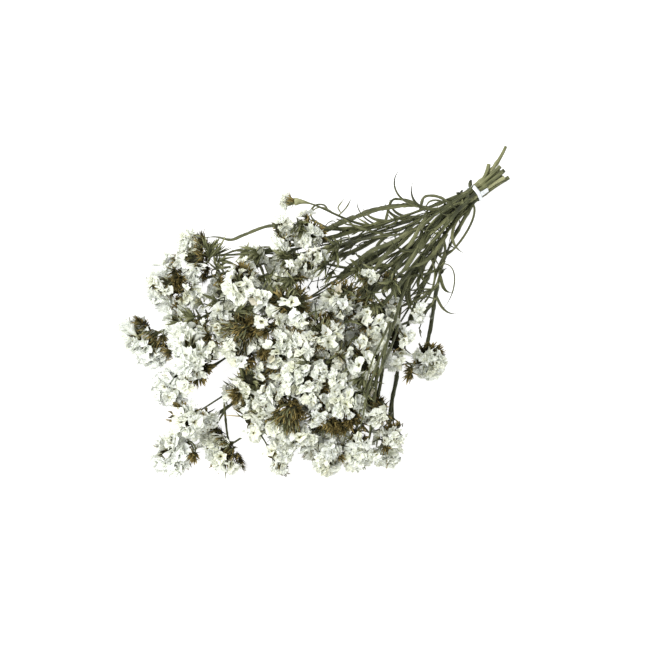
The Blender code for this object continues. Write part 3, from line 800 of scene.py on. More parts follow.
# Strands that the picture shows loose: half width, height gained, whether the end comes
# back to a stem, then points right of the band and down from it in the picture. All
# are in millimetres.
STRANDS = (
    (2.6, 16, True, ((-60, 42), (-85, 52), (-108, 62), (-130, 76))),
    (2.4, 14, True, ((-48, 42), (-62, 62), (-76, 82), (-88, 100))),
    (2.2, 16, True, ((-95, 58), (-118, 70), (-134, 82), (-150, 96))),
    (2.2, 18, True, ((-72, 50), (-98, 72), (-122, 92))),
    (2.2, 3, False, (
        (-150, 52), (-172, 46), (-190, 40), (-209, 36), (-234, 45), (-247, 50), (-262, 47), (-276, 48),
    )),
    (0.7, 2, False, ((-176, 60), (-197, 57), (-216, 57), (-240, 61), (-256, 66))),
    (2.9, 6, True, ((-178, 52), (-138, 33), (-118, 25), (-98, 18), (-63, 14), (-33, 22))),
    (2.0, 6, True, ((-178, 62), (-128, 52), (-98, 46), (-73, 43), (-38, 36))),
    (1.5, 5, True, ((-96, 16), (-86, 10), (-76, 8), (-66, 10), (-57, 16), (-48, 22))),
    (1.4, 6, True, ((-58, 11), (-53, 6), (-45, 4), (-36, 6), (-28, 11), (-20, 17))),
    (1.0, 8, True, ((-50, 20), (-47, 10), (-38, 9), (-26, 13))),
    (0.8, 6, False, ((-138, 29), (-137, 23), (-140, 18), (-137, 13), (-134, 9))),
    (0.8, 4, False, ((-137, 24), (-132, 18), (-129, 13), (-127, 9))),
    (0.5, 3, False, ((-139, 35), (-144, 31), (-150, 33), (-153, 37), (-156, 40))),
    (1.0, 4, False, ((-141, 28), (-148, 22), (-154, 15), (-162, 15), (-167, 20), (-171, 26), (-172, 35))),
    (0.9, 0, False, ((-145, 26), (-153, 18), (-161, 18), (-166, 22), (-170, 28))),
    (1.0, 4, False, ((-76, 29), (-82, 31), (-90, 36), (-92, 42))),
    (0.9, 5, False, ((-74, 27), (-81, 29), (-87, 27), (-90, 22))),
    (1.3, 4, True, ((-138, 31), (-123, 36), (-106, 41), (-92, 44), (-73, 44))),
    (0.9, 3, True, ((-137, 35), (-137, 45), (-138, 56))),
    (0.8, 3, True, ((-135, 38), (-129, 46), (-126, 56))),
    (2.4, 12, True, ((-31, 43), (-41, 60), (-53, 72), (-68, 78), (-82, 85))),
    (2.2, 14, True, ((-47, 20), (-58, 38), (-67, 53), (-80, 68))),
    (1.4, 0, True, ((-31, 46), (-32, 62), (-40, 80), (-46, 102))),
    (0.9, 2, False, ((-46, 107), (-52, 107), (-58, 113), (-59, 120), (-56, 124))),
    (1.0, 4, True, ((-256, 67), (-238, 60), (-216, 58), (-188, 62))),
    (0.9, 2, True, ((-256, 69), (-233, 65), (-208, 64), (-178, 72))),
    (2.0, 62, False, ((-63, 72), (-83, 100), (-103, 122), (-121, 138))),
    (1.9, 62, False, ((-58, 78), (-76, 107), (-93, 130), (-110, 155))),
    (1.8, 62, False, ((-70, 65), (-90, 90), (-113, 110), (-128, 122))),
    (1.6, 62, False, ((-66, 84), (-78, 110), (-86, 135), (-98, 165))),
    (1.9, 26, False, ((-98, 145), (-102, 180), (-106, 210), (-111, 245))),
    (1.7, 22, False, ((-93, 150), (-97, 185), (-104, 220), (-112, 255))),
    (1.2, 52, False, ((-74, 102), (-87, 139), (-102, 171), (-111, 195), (-117, 222), (-122, 246))),
    (1.3, 50, False, ((-80, 104), (-92, 137), (-107, 168), (-115, 196), (-121, 220))),
    (1.2, 48, False, ((-70, 106), (-83, 142), (-98, 175), (-107, 200), (-113, 230))),
    (1.1, 49, False, ((-84, 106), (-90, 140), (-100, 178), (-112, 206), (-114, 224))),
    (1.1, 4, False, ((-250, 200), (-252, 209), (-251, 226), (-247, 251), (-238, 270))),
    (1.0, 3, False, ((-252, 214), (-256, 226), (-262, 237))),
    (1.1, 3, False, ((-268, 226), (-262, 236), (-250, 243))),
    (2.0, 24, False, ((-58, 38), (-85, 60), (-120, 80), (-158, 98))),
    (1.7, 22, False, ((-64, 54), (-96, 70), (-132, 84), (-166, 92))),
    (1.5, 20, False, ((-52, 52), (-72, 72), (-100, 92), (-126, 108))),
)

# Spots in the picture where the bunch is open: right of the band, down and radius
OPEN_SPOTS = (
    (-252, 180, 20), (-268, 202, 18), (-288, 212, 10), (-244, 245, 28), (-176, 275, 18), (-107, 262, 6),
    (-95, 186, 13), (-93, 205, 9), (-68, 131, 11), (-66, 152, 9), (-48, 82, 12), (-62, 200, 20),
    (-210, 30, 26), (-245, 38, 30), (-150, 22, 12), (-110, 15, 8), (-40, 130, 12), (-217, 256, 9),
    (-86, 197, 13), (-172, 15, 13), (-184, 26, 8), (-242, 66, 9), (-102, 196, 6),
)


# Spiky nodes of pointed leaflets: where the picture shows them, how many leaflets,
# their least and most length in millimetres, and which way they point on the picture
# in degrees, counter-clockwise from its right.
SPIKY_NODES = (
    (-263, 68, 12, 14, 26, 60), (-266, 76, 8, 10, 18, 215), (-228, 78, 10, 9, 18, 250),
    (-190, 104, 10, 16, 30, 262), (-245, 192, 8, 10, 18, 160), (-240, 180, 7, 8, 15, 20),
    (-64, 165, 7, 8, 16, 250), (-186, 12, 6, 6, 11, 190),
)


# Spots where the picture shows white floor beside a head: right, down and radius
HEAD_GAPS = (
    (-240, 236, 15), (-213, 268, 8), (-173, 278, 12), (-105, 252, 8), (-72, 238, 8), (-70, 156, 9),
    (-283, 108, 8), (-275, 113, 8), (-66, 230, 8), (-74, 264, 7), (-302, 245, 7), (-86, 154, 8),
    (-88, 172, 8),
)

# Spots where the picture shows bracts or leaves over the florets: right, down, radius,
# number of tufts, their kind, and which way they point on the picture in degrees
DARK_SPOTS = (
    (-178, 108, 13, 5, "fingers", 265), (-186, 94, 8, 2, "fingers", 240), (-206, 90, 8, 3, "fingers", 300),
    (-223, 71, 11, 4, "fingers", 225), (-262, 70, 11, 4, "fingers", 60), (-254, 92, 6, 2, "brush", 320),
    (-263, 110, 7, 2, "fingers", 200), (-284, 130, 7, 3, "fingers", 180), (-226, 174, 8, 3, "brush", 250),
    (-240, 200, 9, 4, "brush", 205), (-222, 198, 7, 2, "fingers", 200), (-183, 214, 10, 4, "brush", 260),
    (-150, 228, 9, 4, "brush", 240), (-128, 224, 8, 3, "brush", 260), (-160, 138, 7, 2, "fingers", 250),
    (-146, 165, 7, 2, "fingers", 230), (-138, 64, 11, 3, "fingers", 220), (-110, 78, 12, 4, "fingers", 240),
    (-130, 102, 10, 3, "fingers", 230), (-104, 108, 11, 3, "fingers", 250), (-90, 96, 9, 2, "fingers", 250),
    (-152, 80, 8, 2, "fingers", 220), (-113, 185, 8, 2, "fingers", 255), (-98, 218, 8, 2, "brush", 200),
    (-281, 262, 6, 2, "brush", 250), (-215, 140, 8, 3, "brush", 200),
    (-177, 36, 7, 3, "fingers", 240),
    (-300, 88, 9, 4, "brush", 270), (-196, 110, 14, 8, "fingers", 250), (-236, 122, 9, 3, "fingers", 30),
    (-212, 162, 9, 4, "brush", 300), (-232, 184, 9, 4, "fingers", 60), (-180, 206, 7, 2, "brush", 280),
    (-190, 70, 6, 3, "fingers", 180),
    (-133, 228, 8, 4, "brush", 240), (-226, 134, 8, 5, "brush", 20), (-264, 148, 6, 2, "brush", 260),
    (-126, 168, 7, 3, "fingers", 240), (-118, 202, 8, 3, "fingers", 250), (-158, 154, 6, 2, "brush", 250),
    (-68, 178, 6, 2, "brush", 200), (-171, 172, 6, 2, "fingers", 200), (-206, 150, 7, 2, "brush", 260),
    (-275, 182, 5, 1, "brush", 240), (-92, 140, 8, 2, "fingers", 260),
)

# How many of a head's calyxes such a spot hides
DARK_SHARE = 0.95

# Spots where the picture shows florets in front: right, down, radius and number of sprigs
FLORET_SPOTS = (
    (-289, 50, 7, 2), (-287, 64, 7, 2), (-318, 100, 6, 1), (-194, 53, 6, 2), (-222, 112, 7, 2),
    (-243, 152, 8, 3), (-234, 168, 6, 1), (-178, 138, 9, 2), (-176, 156, 8, 1), (-138, 143, 7, 1),
    (-212, 225, 8, 3), (-164, 240, 6, 1), (-234, 78, 6, 2), (-200, 262, 6, 2),
    (-143, 172, 9, 3), (-142, 186, 8, 2), (-160, 182, 7, 2), (-206, 200, 9, 3), (-198, 214, 7, 1),
    (-196, 236, 9, 2), (-180, 244, 7, 2), (-164, 250, 9, 3), (-152, 262, 9, 3), (-112, 246, 6, 1),
    (-199, 88, 6, 1), (-152, 206, 7, 1), (-224, 232, 7, 1), (-285, 190, 7, 1), (-118, 134, 7, 1),
    (-108, 150, 7, 1), (-166, 66, 6, 1), (-112, 88, 4, 1),
    (-166, 148, 7, 2), (-138, 114, 6, 1), (-178, 163, 6, 2), (-168, 168, 6, 1), (-146, 166, 7, 1),
    (-96, 130, 5, 1), (-187, 84, 6, 1), (-104, 223, 6, 2), (-311, 102, 5, 1), (-287, 57, 6, 2),
    (-196, 34, 5, 1), (-155, 218, 6, 1), (-77, 145, 4, 1),
)


class Shape:
    """Gathers the points, faces and per-point values of one piece."""

    def __init__(self):
        self.points = []
        self.faces = []
        self.looks = []
        self.values = {"grain": [], "along": [], "tone": []}
        self.total = 0

    def add(self, points, faces, look, along, tone, grain=None):
        points = np.asarray(points, float).reshape(-1, 3)
        count = len(points)
        for group in faces:
            group = np.asarray(group, int) + self.total
            self.faces += group.tolist()
            self.looks += [look] * len(group)
        self.points.append(points)
        self.values["along"].append(np.broadcast_to(along, count))
        self.values["tone"].append(np.broadcast_to(tone, count))
        self.values["grain"].append(points if grain is None else np.asarray(grain))
        self.total += count

    def piece(self, name, materials):
        """The piece itself, moved from the band's frame to the row's."""
        mesh = bpy.data.meshes.new(name)
        mesh.from_pydata(np.concatenate(self.points) + ORIGIN, [], self.faces)
        for key, kind, channel in (("grain", "FLOAT_VECTOR", "vector"), ("along", "FLOAT", "value"),
                                   ("tone", "FLOAT", "value")):
            values = np.concatenate(self.values[key]).astype(np.float32)
            mesh.attributes.new(key, kind, "POINT").data.foreach_set(channel, values.ravel())
        for material in materials:
            mesh.materials.append(material)
        mesh.polygons.foreach_set("material_index", self.looks)
        mesh.shade_smooth()
        mesh.update()
        made = bpy.data.objects.new(name, mesh)
        bpy.context.scene.collection.objects.link(made)
        return made


def length_of(vectors):
    return np.linalg.norm(vectors, axis=-1, keepdims=True)


def units(vectors):
    return vectors / length_of(vectors)


def scatter(rng, size, count):
    """Random vectors, this many millimetres long on each axis."""
    return rng.normal(scale=size, size=(count, 3)) * MM


def sizes(rng, span, shape):
    """Random lengths from a span given in millimetres."""
    return rng.uniform(*span, size=shape) * MM


def across_of(axes, rng):
    """Two unit vectors across each axis, turned at random."""
    other = rng.normal(size=axes.shape)
    first = units(np.cross(axes, other))
    return first, np.cross(axes, first)


def grid_faces(rows, columns, closed, copies, stride):
    """Quads between neighbouring rows, for several copies of one grid of points."""
    last = columns if closed else columns - 1
    r, c = np.meshgrid(np.arange(rows - 1), np.arange(last), indexing="ij")
    r, c = r.ravel(), c.ravel()
    following = (c + 1) % columns
    quads = np.column_stack((
        r * columns + c, r * columns + following,
        (r + 1) * columns + following, (r + 1) * columns + c,
    ))
    return (quads[None] + stride * np.arange(copies)[:, None, None]).reshape(-1, 4)


def calyxes(shape, roots, tips, radius, rng, cream=(0.1, 1.0)):
    """Papery calyxes: flared, unevenly folded bells with a crisp rim."""
    count, sides, rings = len(roots), CALYX_SIDES, len(CALYX_RINGS)
    along = length_of(tips - roots)
    axis = (tips - roots) / along
    first, second = across_of(axis, rng)
    aside = rng.normal(scale=CALYX_ASIDE, size=(count, 2))
    squash = rng.uniform(*CALYX_SQUASH, size=(count, 1, 1))
    share, flare, fold, pale = (CALYX_RINGS[:, n][None, :, None] for n in range(4))
    turn = (2 * pi * np.arange(sides) / sides)[None, None, :]

    def waves(*crests_and_heights):
        """Waves round the rim: each has its number of crests and its height."""
        total = 0
        for crests, height in crests_and_heights:
            phase = rng.uniform(0, 2 * pi, size=(count, 1, 1))
            heights = height * rng.uniform(0.4, 1.5, size=(count, 1, 1))
            total = total + heights * np.cos(crests * turn + phase)
        return total

    ruffles = rng.integers(*CALYX_RUFFLES, size=(count, 1, 1))
    rim = radius[:, None, None]
    crumple = rng.normal(scale=CALYX_CRUMPLE, size=(2, count, rings, sides))
    crumple[:, :, CALYX_EDGE + 1] = crumple[:, :, CALYX_EDGE]
    spread = rim * flare * (1 + fold * (waves((2, 0.14), (3, 0.1), (ruffles, 0.13)) + crumple[0]))
    rise = along[:, :, None] * share
    rise = rise + rim * fold * (waves((2, 0.16), (3, 0.12), (ruffles, 0.1)) + crumple[1])
    bearing = turn + fold * waves((4, 0.12))
    u = (1.3 - 0.3 * squash) * spread * np.cos(bearing) + aside[:, :1, None] * rim * fold
    v = squash * spread * np.sin(bearing) + aside[:, 1:, None] * rim * fold
    points = (
        roots[:, None, None]
        + u[..., None] * first[:, None, None]
        + v[..., None] * second[:, None, None]
        + rise[..., None] * axis[:, None, None]
    )
    shades = np.broadcast_to(pale, points.shape[:3]).copy()
    shades[:, -1] = rng.uniform(*CALYX_THROAT, size=(count, 1))
    tones = np.broadcast_to(rng.uniform(*cream, size=(count, 1, 1)), points.shape[:3])
    ribs = np.stack(np.broadcast_arrays(rim * np.cos(turn), rim * np.sin(turn), 0.2 * rise), axis=-1)
    grain = ribs + rng.uniform(size=(count, 1, 1, 3))
    faces = grid_faces(rings, sides, True, count, rings * sides).reshape(count, rings - 1, -1, 4)
    faces = np.delete(faces, CALYX_EDGE, axis=1).reshape(-1, 4)
    shape.add(points, [faces], IN_ONE, shades.ravel(), tones.ravel(), grain.reshape(-1, 3))


def blades(shape, bases, tips, normals, widths, tones, look, rng, bend=0.12):
    """Keeled, pointed blades: bracts, leaflets and the wings' free tips."""
    count = len(bases)
    along = tips - bases
    length = length_of(along)
    axis = along / length
    side = units(np.cross(axis, normals))
    normal = np.cross(side, axis)
    share, wide = BLADE_STATIONS[:, 0], BLADE_STATIONS[:, 1]
    bends = bend * length * rng.uniform(0.2, 1.8, size=(count, 1))
    sway = BLADE_SWAY * length * rng.normal(size=(count, 1))
    middle = (
        bases[:, None]
        + share[None, :, None] * along[:, None]
        + (bends * share[None] ** 2)[..., None] * normal[:, None]
        + (sway * (share * (1 - share) * 4)[None])[..., None] * side[:, None]
    )
    half = (widths[:, None] / 2 * wide[None])[..., None]
    left = middle + half * side[:, None]
    right = middle - half * side[:, None]
    keel = middle - BLADE_KEEL * half * normal[:, None]
    points = np.stack((left, keel, right), axis=2)
    stations = len(share)
    faces = grid_faces(stations, 3, False, count, stations * 3)
    reached = np.broadcast_to(share[None, :, None], points.shape[:3])
    tones = np.broadcast_to(tones[:, None, None], points.shape[:3])
    shape.add(points, [faces], look, reached.ravel(), tones.ravel())


def right_of(head):
    """How far a head is to the picture's right of the band, in millimetres."""
    return (head.centre @ from_picture(1, 0, 0)) / MM


def calyx_size(head):
    """How large a head's calyxes are: smaller towards the picture's right."""
    return float(np.interp(right_of(head), *SIZE_ACROSS))


def fan_reach(head):
    """How far out over its florets a head's bracts fan, as a share of its reach."""
    if head.half_width < SMALL_HEAD:
        return NO_FAN
    if head.half_length > COMB_LENGTH and head.face @ SIGHT < SIDE_ON:
        return COMB_FAN
    return float(np.interp(head.face @ SIGHT, *FAN_REACH))


def under_fan(head, place):
    """Whether a place near the core lies under the bracts that fan over the seen side."""
    toward = SIGHT - (SIGHT @ head.face) * head.face
    facing = place @ unit(toward) / np.linalg.norm(place)
    return facing > 0.15 and place @ head.face < (fan_reach(head) + 0.2) * head.reach


def calyx_places(head, rng):
    """Root and tip of each calyx of a head, set by the heights of the part's cells.

    They fan out in small sprays of one in the middle and some round it, with
    clefts between the sprays. Towards the picture's right the sprays stand more
    unevenly, and some are missing. The third list has root and tip of each cleft
    that a missing spray leaves.
    """
    florets = Florets(head)
    core = head.core()
    size = calyx_size(head)
    loose = float(np.interp(right_of(head), *LOOSE_ACROSS))
    spacing = size * SPRIG_SPACING
    rows = max(1, round(2.0 * POLE_ROW * head.half_length / spacing))
    roots, tips, clefts = [], [], []
    for row in range(rows):
        theta = POLE_ROW * (2 * (row + 0.5) / rows - 1)
        girth = 2.1 * WRAP * head.half_width * cos(0.86 * theta)
        columns = max(2, round(girth / spacing))
        for column in range(columns):
            place = (column + 0.5 + 0.25 * (-1) ** row) / columns
            phi = WRAP * (2 * place - 1) + rng.normal(scale=SPRIG_JITTER) * 2 * WRAP / columns
            lean = theta + rng.normal(scale=SPRIG_JITTER) * 2 * POLE_ROW / rows
            stands = 1 + loose * rng.uniform(*SPRIG_STANDS)
            middle = florets.ray(lean, phi)
            base = (SPRIG_FOOT * florets.inner * middle) @ florets.axes
            if rng.random() < SPRIG_MISSING * loose and head.half_width > SMALL_HEAD:
                top = ((1 - CLEFT_TOP) * florets.inner + CLEFT_TOP * florets.outer) * middle
                clefts.append((core + base, core + top @ florets.axes))
                continue
            around = rng.uniform(0, 2 * pi)
            for n in range(SPRIG_CALYXES):
                off = 0 if n == 0 else SPRIG_REACH * size * rng.uniform(0.8, 1.2)
                turn = around + 2 * pi * n / (SPRIG_CALYXES - 1)
                tilt = np.clip(lean + off * cos(turn) / head.half_length, -POLE_ROW, POLE_ROW)
                swing = off * sin(turn) / (head.half_width * max(cos(tilt), 0.3))
                swing = np.clip(phi + swing, -1.08 * WRAP, 1.08 * WRAP)
                i = min(int((tilt / POLE_WRAP + 1) / 2 * florets.along), florets.along - 1)
                j = min(int((swing / WRAP + 1) / 2 * florets.across), florets.across - 1)
                number = max(i, 0) * florets.across + max(j, 0)
                height = stands * np.mean(florets.heights[number])
                height *= 1.05 if n == 0 else rng.uniform(0.86, 1.0)
                height = min(height, SPRIG_MOST)
                out = (1 - height) * florets.inner + height * florets.outer
                tip = (out * florets.ray(tilt, swing)) @ florets.axes
                if under_fan(head, tip):
                    continue
                tips.append(core + tip - TIP_SETBACK * size * MM * unit(tip))
                roots.append(core + base + rng.normal(scale=ROOT_SCATTER, size=3) * MM)
    roots, tips = np.array(roots), np.array(tips)
    covered = within(DARK_SPOTS, seen(tips)) & (rng.random(len(tips)) < DARK_SHARE)
    kept = beside_gaps(tips) & ~covered
    return roots[kept], tips[kept], clefts


def crowding(end, taken):
    """How far a point is from the heads and shoots round it, as the picture sees them."""
    def apart(other):
        between = end - other
        return np.linalg.norm(between - (between @ SIGHT) * SIGHT)

    heads = min(apart(head.centre) - 0.85 * head.half_width for head in HEADS)
    return min([heads] + [apart(other) - SHOOT_ROOM for other in taken])


def within(spots, places):
    """Which of these places in the picture lie within any of the spots."""
    return np.any([
        np.hypot(places[:, 0] - right, places[:, 1] - down) < reach for right, down, reach, *_ in spots
    ], axis=0)


def beside_gaps(points):
    """Which points keep clear of the spots where the picture shows floor beside a head."""
    return ~within(HEAD_GAPS, seen(points))


def grow_shoots(courses):
    """Thin side shoots: for each its spray, its line, and whether florets end it.

    Long ones leave a main stem near the band and run beside it; short ones stand
    out of the branches. Each grows towards open room, and only those deep in the
    bunch end in florets.
    """
    rng = np.random.default_rng(SHOOT_SEED)
    found, taken = [], []
    for course in courses:
        points = course.points
        number, stretches, distances = BRANCH_SHOOTS if course.parent else STEM_SHOOTS
        for _ in range(number):
            best = None
            for _ in range(SHOOT_TRIES):
                if course.parent:
                    start, last = int(rng.integers(1, max(2, len(points) - 5))), len(points) - 1
                else:
                    start, last = course.fixed + int(rng.integers(0, STEM_SHOOT_START)), len(points) - 3
                stretch = min(int(rng.integers(*stretches)), last - start)
                far = rng.uniform(*distances) * MM
                line = points[start : start + stretch + 1].copy()
                share = np.linspace(0, 1, len(line))[:, None]
                aside = unit(np.cross(line[-1] - line[0], rng.normal(size=3)))
                other = unit(np.cross(line[-1] - line[0], aside))
                line += far * share**1.4 * aside
                line += rng.uniform(1, 3) * MM * np.sin(share * rng.uniform(4, 9)) * share * other
                line[:, 2] = np.maximum(line[:, 2], 3 * MM)
                room = crowding(line[-1], taken)
                if room > OPEN_ROOM or within(OPEN_SPOTS, seen(line)).any():
                    continue
                if best is None or room > best[0]:
                    best = (room, line)
            if best is None:
                continue
            line = best[1]
            taken.append(line[-1])
            near = [np.linalg.norm(head.centre - line[-1]) < CROWDED for head in HEADS]
            found.append((course.spray, line, "florets" if sum(near) >= 3 else "bare"))
    return found + fill_spots(courses, rng) + dark_shoots(courses, rng)


def level_at(spot, rng):
    """A height a little above the middles of the heads near a place in the picture."""
    apart = np.linalg.norm(seen(np.array([head.centre for head in HEADS])) - spot, axis=1)
    near = np.argsort(apart)[:3]
    return np.mean([HEADS[n].centre[2] for n in near]) + rng.uniform(7, 15) * MM


def top_at(place):
    """How high the florets stand at a place in the picture."""
    tops = [
        head.centre[2] + 0.9 * head.reach * max(head.face[2], 0.4) for head in HEADS
        if np.linalg.norm(seen(head.centre) - place) < head.half_width / MM + 3
    ]
    return max(tops, default=0)


def dark_shoots(courses, rng):
    """Leafy, bract-tipped and flowering shoots on top, at the spots the picture shows."""
    shoots = []
    whites = tuple((*spot, "florets", 0) for spot in FLORET_SPOTS)
    for right, down, reach, tufts, kind, bearing in DARK_SPOTS + whites:
        toward, lift = (1.6, 7 * MM) if kind == "florets" else (0.25, 4 * MM)
        for _ in range(tufts):
            spot = np.array((right, down)) + 0.45 * reach * rng.normal(size=2)
            spray, root = held_at(spot, courses)
            end = under(*spot, max(root[2] + 3 * MM, level_at(spot, rng) + lift))
            turn = radians(bearing) + rng.normal(scale=0.4)
            way = cos(turn) * from_picture(1, 0, 0) + sin(turn) * from_picture(0, 1, 0)
            way = unit(way + toward * SIGHT)
            far = np.linalg.norm(end - root)
            line = bezier(root, root + (0, 0, 0.5 * far), end - 0.35 * far * way, end, 7)
            line[:, 2] = np.maximum(line[:, 2], 4 * MM)
            shoots.append((spray, line, kind))
    return shoots


def fill_spots(courses, rng):
    """Shoots that fill the open spots between the heads, as the picture sees them.

    Most end in florets or in a tuft of bracts. Those in the upper part of the
    bunch end in leaves instead.
    """
    centres = seen(np.array([head.centre for head in HEADS]))
    beads = seen(np.array([head.centre + offset for head in HEADS for offset in head.beads()]))
    radii = np.repeat([head.half_width / MM for head in HEADS], 4)
    turned_away = [head.face @ SIGHT < 0.35 and head.half_width > SMALL_HEAD for head in HEADS]
    filled, spots = [], []
    for right in np.arange(*FILL_ACROSS, FILL_STEP):
        for down in np.arange(*FILL_DOWN, FILL_STEP):
            spot = np.array((right, down)) + rng.uniform(-2.5, 2.5, size=2)
            room = (np.linalg.norm(beads - spot, axis=1) - 0.92 * radii).min()
            apart = np.linalg.norm(centres - spot, axis=1)
            sides = {(bool(x > 0), bool(y > 0)) for x, y in (centres - spot)[apart < 52]}
            kept_open = within(OPEN_SPOTS, spot[None])[0]
            spaced = all(np.linalg.norm(spot - other) > FILL_SPACING for other in spots)
            if room < -1 or len(sides) < 4 or kept_open or not spaced:
                continue
            spots.append(spot)
            by_bracts = apart[turned_away].min() < 24
            kind = rng.choice(FILLERS, p=ODDS_BY_BRACTS if by_bracts else ODDS_BY_FLORETS)
            if right > FILL_RIGHT:
                kind = rng.choice(FILLERS, p=ODDS_AT_RIGHT)
            if down < FILL_TOP:
                kind = rng.choice(("bracts", "bare", "bare"))
            if kind == "florets" and within(DARK_SPOTS, spot[None])[0]:
                continue
            spray, root = held_at(spot, courses)
            end = under(*spot, max(root[2] + 2 * MM, level_at(spot, rng)))
            far = np.linalg.norm(end - root)
            arch = np.array((0, 0, 0.3 * far))
            line = bezier(root, root + 0.3 * (end - root) + arch, end - 0.3 * (end - root) + arch, end, 7)
            line[:, 2] = np.maximum(line[:, 2], 6 * MM)
            filled.append((spray, line, kind))
    return filled


def is_bud(head):
    """Whether a head is the small closed one that the picture shows from its side."""
    return head.half_width < BUD_HEAD and head.face @ SIGHT < SIDE_ON


def bud_florets(head, rng):
    """Roots and tips of the few calyxes at the mouth of the bud."""
    ways = units(head.face + 0.5 * rng.normal(size=(BUD_CALYXES, 3)))
    roots = head.core() + 1.5 * MM * ways
    return roots, roots + sizes(rng, (6.5, 9), (BUD_CALYXES, 1)) * ways


def dress_bud(shape, head, rng):
    """Olive and brown bracts closed round the foot of the bud."""
    foot = head.core() - 5 * MM * head.face
    for look, count, least, most, open_to in BUD_BRACTS:
        ways = units(head.face + open_to * rng.normal(size=(count, 3)))
        ends = foot + sizes(rng, (least, most), (count, 1)) * ways
        bases = foot + scatter(rng, ROOT_SCATTER, count)
        blades(shape, bases, ends, across_of(ways, rng)[0], sizes(rng, (1.4, 2.6), count),
               rng.uniform(0.6, 1.5, size=count), look, rng, bend=0.06)


def sprig(line, rng):
    """Roots and tips of the few calyxes at the end of a side shoot."""
    heading = unit(line[-1] - line[-2])
    count = int(rng.integers(4, 9))
    ways = units(heading + 1.1 * rng.normal(size=(count, 3)))
    ways[ways @ heading < -0.2] *= -1
    roots = line[-1] + 1.5 * MM * ways
    return roots, roots + sizes(rng, (5.5, 8.5), (count, 1)) * ways


def dress_head(head, shoots, materials):
    """All calyxes of one head, as the piece that stands for its node."""
    rng = np.random.default_rng(head.seed())
    roots, tips = bud_florets(head, rng) if is_bud(head) else calyx_places(head, rng)[:2]
    small = np.clip(head.half_width / (14 * MM), 0.72, 1) * calyx_size(head)
    shape = Shape()
    radius = CALYX_RADIUS * small * rng.uniform(*CALYX_RADII, size=len(roots))
    cream = np.interp(right_of(head), *CREAM_ACROSS)
    calyxes(shape, roots, tips, radius, rng, (0.25 * cream, cream))
    if head.name.endswith("_1"):
        for spray, line, kind in shoots:
            if kind == "florets" and spray == int(head.name[5:7]) - 1:
                roots, tips = sprig(line, rng)
                calyxes(shape, roots, tips, sizes(rng, SHOOT_CALYX_RADII, len(roots)), rng)
    shape.points = [keep_above_table(points, rng) for points in shape.points]
    piece = shape.piece("florets" + head.name[4:], materials)
    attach(piece, "root")
    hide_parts(head.name)


def keep_above_table(points, rng):
    """Presses what would reach under the table flat on it, with a little crumple."""
    floor = rng.uniform(0.1, 0.6, size=len(points)) * MM
    points = points.copy()
    points[:, 2] = np.maximum(points[:, 2], floor)
    return points


def dress_bracts(shape, head, rng):
    """The bracts of one head, in spiky tufts from its rachis out past its rim."""
    core = head.core()
    spare = max(head.half_length - head.half_width, 0)
    drawn_in = FAN_NARROWS if fan_reach(head) > 0 else 1
    for inner, outer, crowd in BRACT_ROWS:
        inner, outer = inner * drawn_in, outer * drawn_in
        girth = 2 * pi * crowd * (head.half_length + head.half_width) / 2
        tufts = max(LEAST_TUFTS, round(girth / BRACT_SPACING))
        turn = 2 * pi * (np.arange(tufts) + rng.uniform(-0.35, 0.35, size=tufts)) / tufts
        turn = np.repeat(turn, TUFT)
        count = len(turn)
        over = np.column_stack((np.cos(turn) * head.half_length, np.sin(turn) * head.half_width))
        start = np.zeros((count, 2))
        start[:, 0] = np.clip(0.85 * over[:, 0], -0.9 * spare, 0.9 * spare)

        def place(share, lift):
            flat = start + share[:, None] * (0.92 * over - start)
            depth = GAP + head.back - share * (head.back - head.bract_sink) - lift
            return (
                core + flat[:, :1] * head.spine + flat[:, 1:] * head.side
                - depth[:, None] * head.face
            )

        shares = np.repeat(inner + rng.uniform(0, 0.12, size=tufts), TUFT)
        bases = place(shares, 0.3 * MM) + scatter(rng, 0.6, count)
        ends = place(shares + (outer - inner) * rng.uniform(0.7, 1.15, size=count),
                     sizes(rng, (-3.5, 1.0), count))
        ends += scatter(rng, 1.7, count)
        widths = sizes(rng, (1.1, 2.3), count)
        tones = np.repeat(rng.uniform(0, 1, size=tufts), TUFT)
        kept = beside_gaps(ends)
        backs = np.broadcast_to(-head.face, (int(kept.sum()), 3))
        blades(shape, bases[kept], ends[kept], backs, widths[kept], tones[kept], IN_BROWN, rng, bend=0.1)


def dress_fan(shape, head, rng):
    """Bracts in rows over the florets, where the picture shows a head's back or side."""
    reach = fan_reach(head)
    toward = unit(SIGHT - (SIGHT @ head.face) * head.face)
    swing = unit(np.cross(head.face, toward))
    half = head.half_length * abs(swing @ head.spine) + head.half_width * abs(swing @ head.side)
    for row in np.arange(FAN_FOOT, reach, FAN_STEP):
        width = half * (FAN_WIDTHS[0] + FAN_WIDTHS[1] * (row - FAN_FOOT) / (reach - FAN_FOOT))
        count = max(6, round(2 * width / FAN_SPACING))
        over = np.linspace(-1, 1, count) + rng.normal(scale=0.06, size=count)
        rise = np.sqrt(np.clip(1 - over**2 - max(row, 0) ** 2, 0.05, 1))
        bases = (
            head.core() + (row * head.reach + rng.normal(scale=1.2, size=(count, 1)) * MM) * head.face
            + (over * width)[:, None] * swing + (0.78 * head.half_width * rise)[:, None] * toward
        )
        ways = (
            head.face + rng.uniform(0.1, 0.9, size=(count, 1)) * toward
            + (0.75 * over + rng.normal(scale=0.32, size=count))[:, None] * swing
        )
        ends = bases + sizes(rng, FAN_BLADES, (count, 1)) * units(ways)
        widths = sizes(rng, (0.8, 1.7), count)
        tones = rng.uniform(-0.1, 1.4, size=count)
        olive = rng.random(count) < FAN_OLIVE
        for kept, look in ((olive, IN_GREEN), (~olive, IN_BROWN)):
            backs = np.broadcast_to(toward, (int(kept.sum()), 3))
            blades(shape, bases[kept], ends[kept], backs, widths[kept], tones[kept], look, rng, bend=0.12)


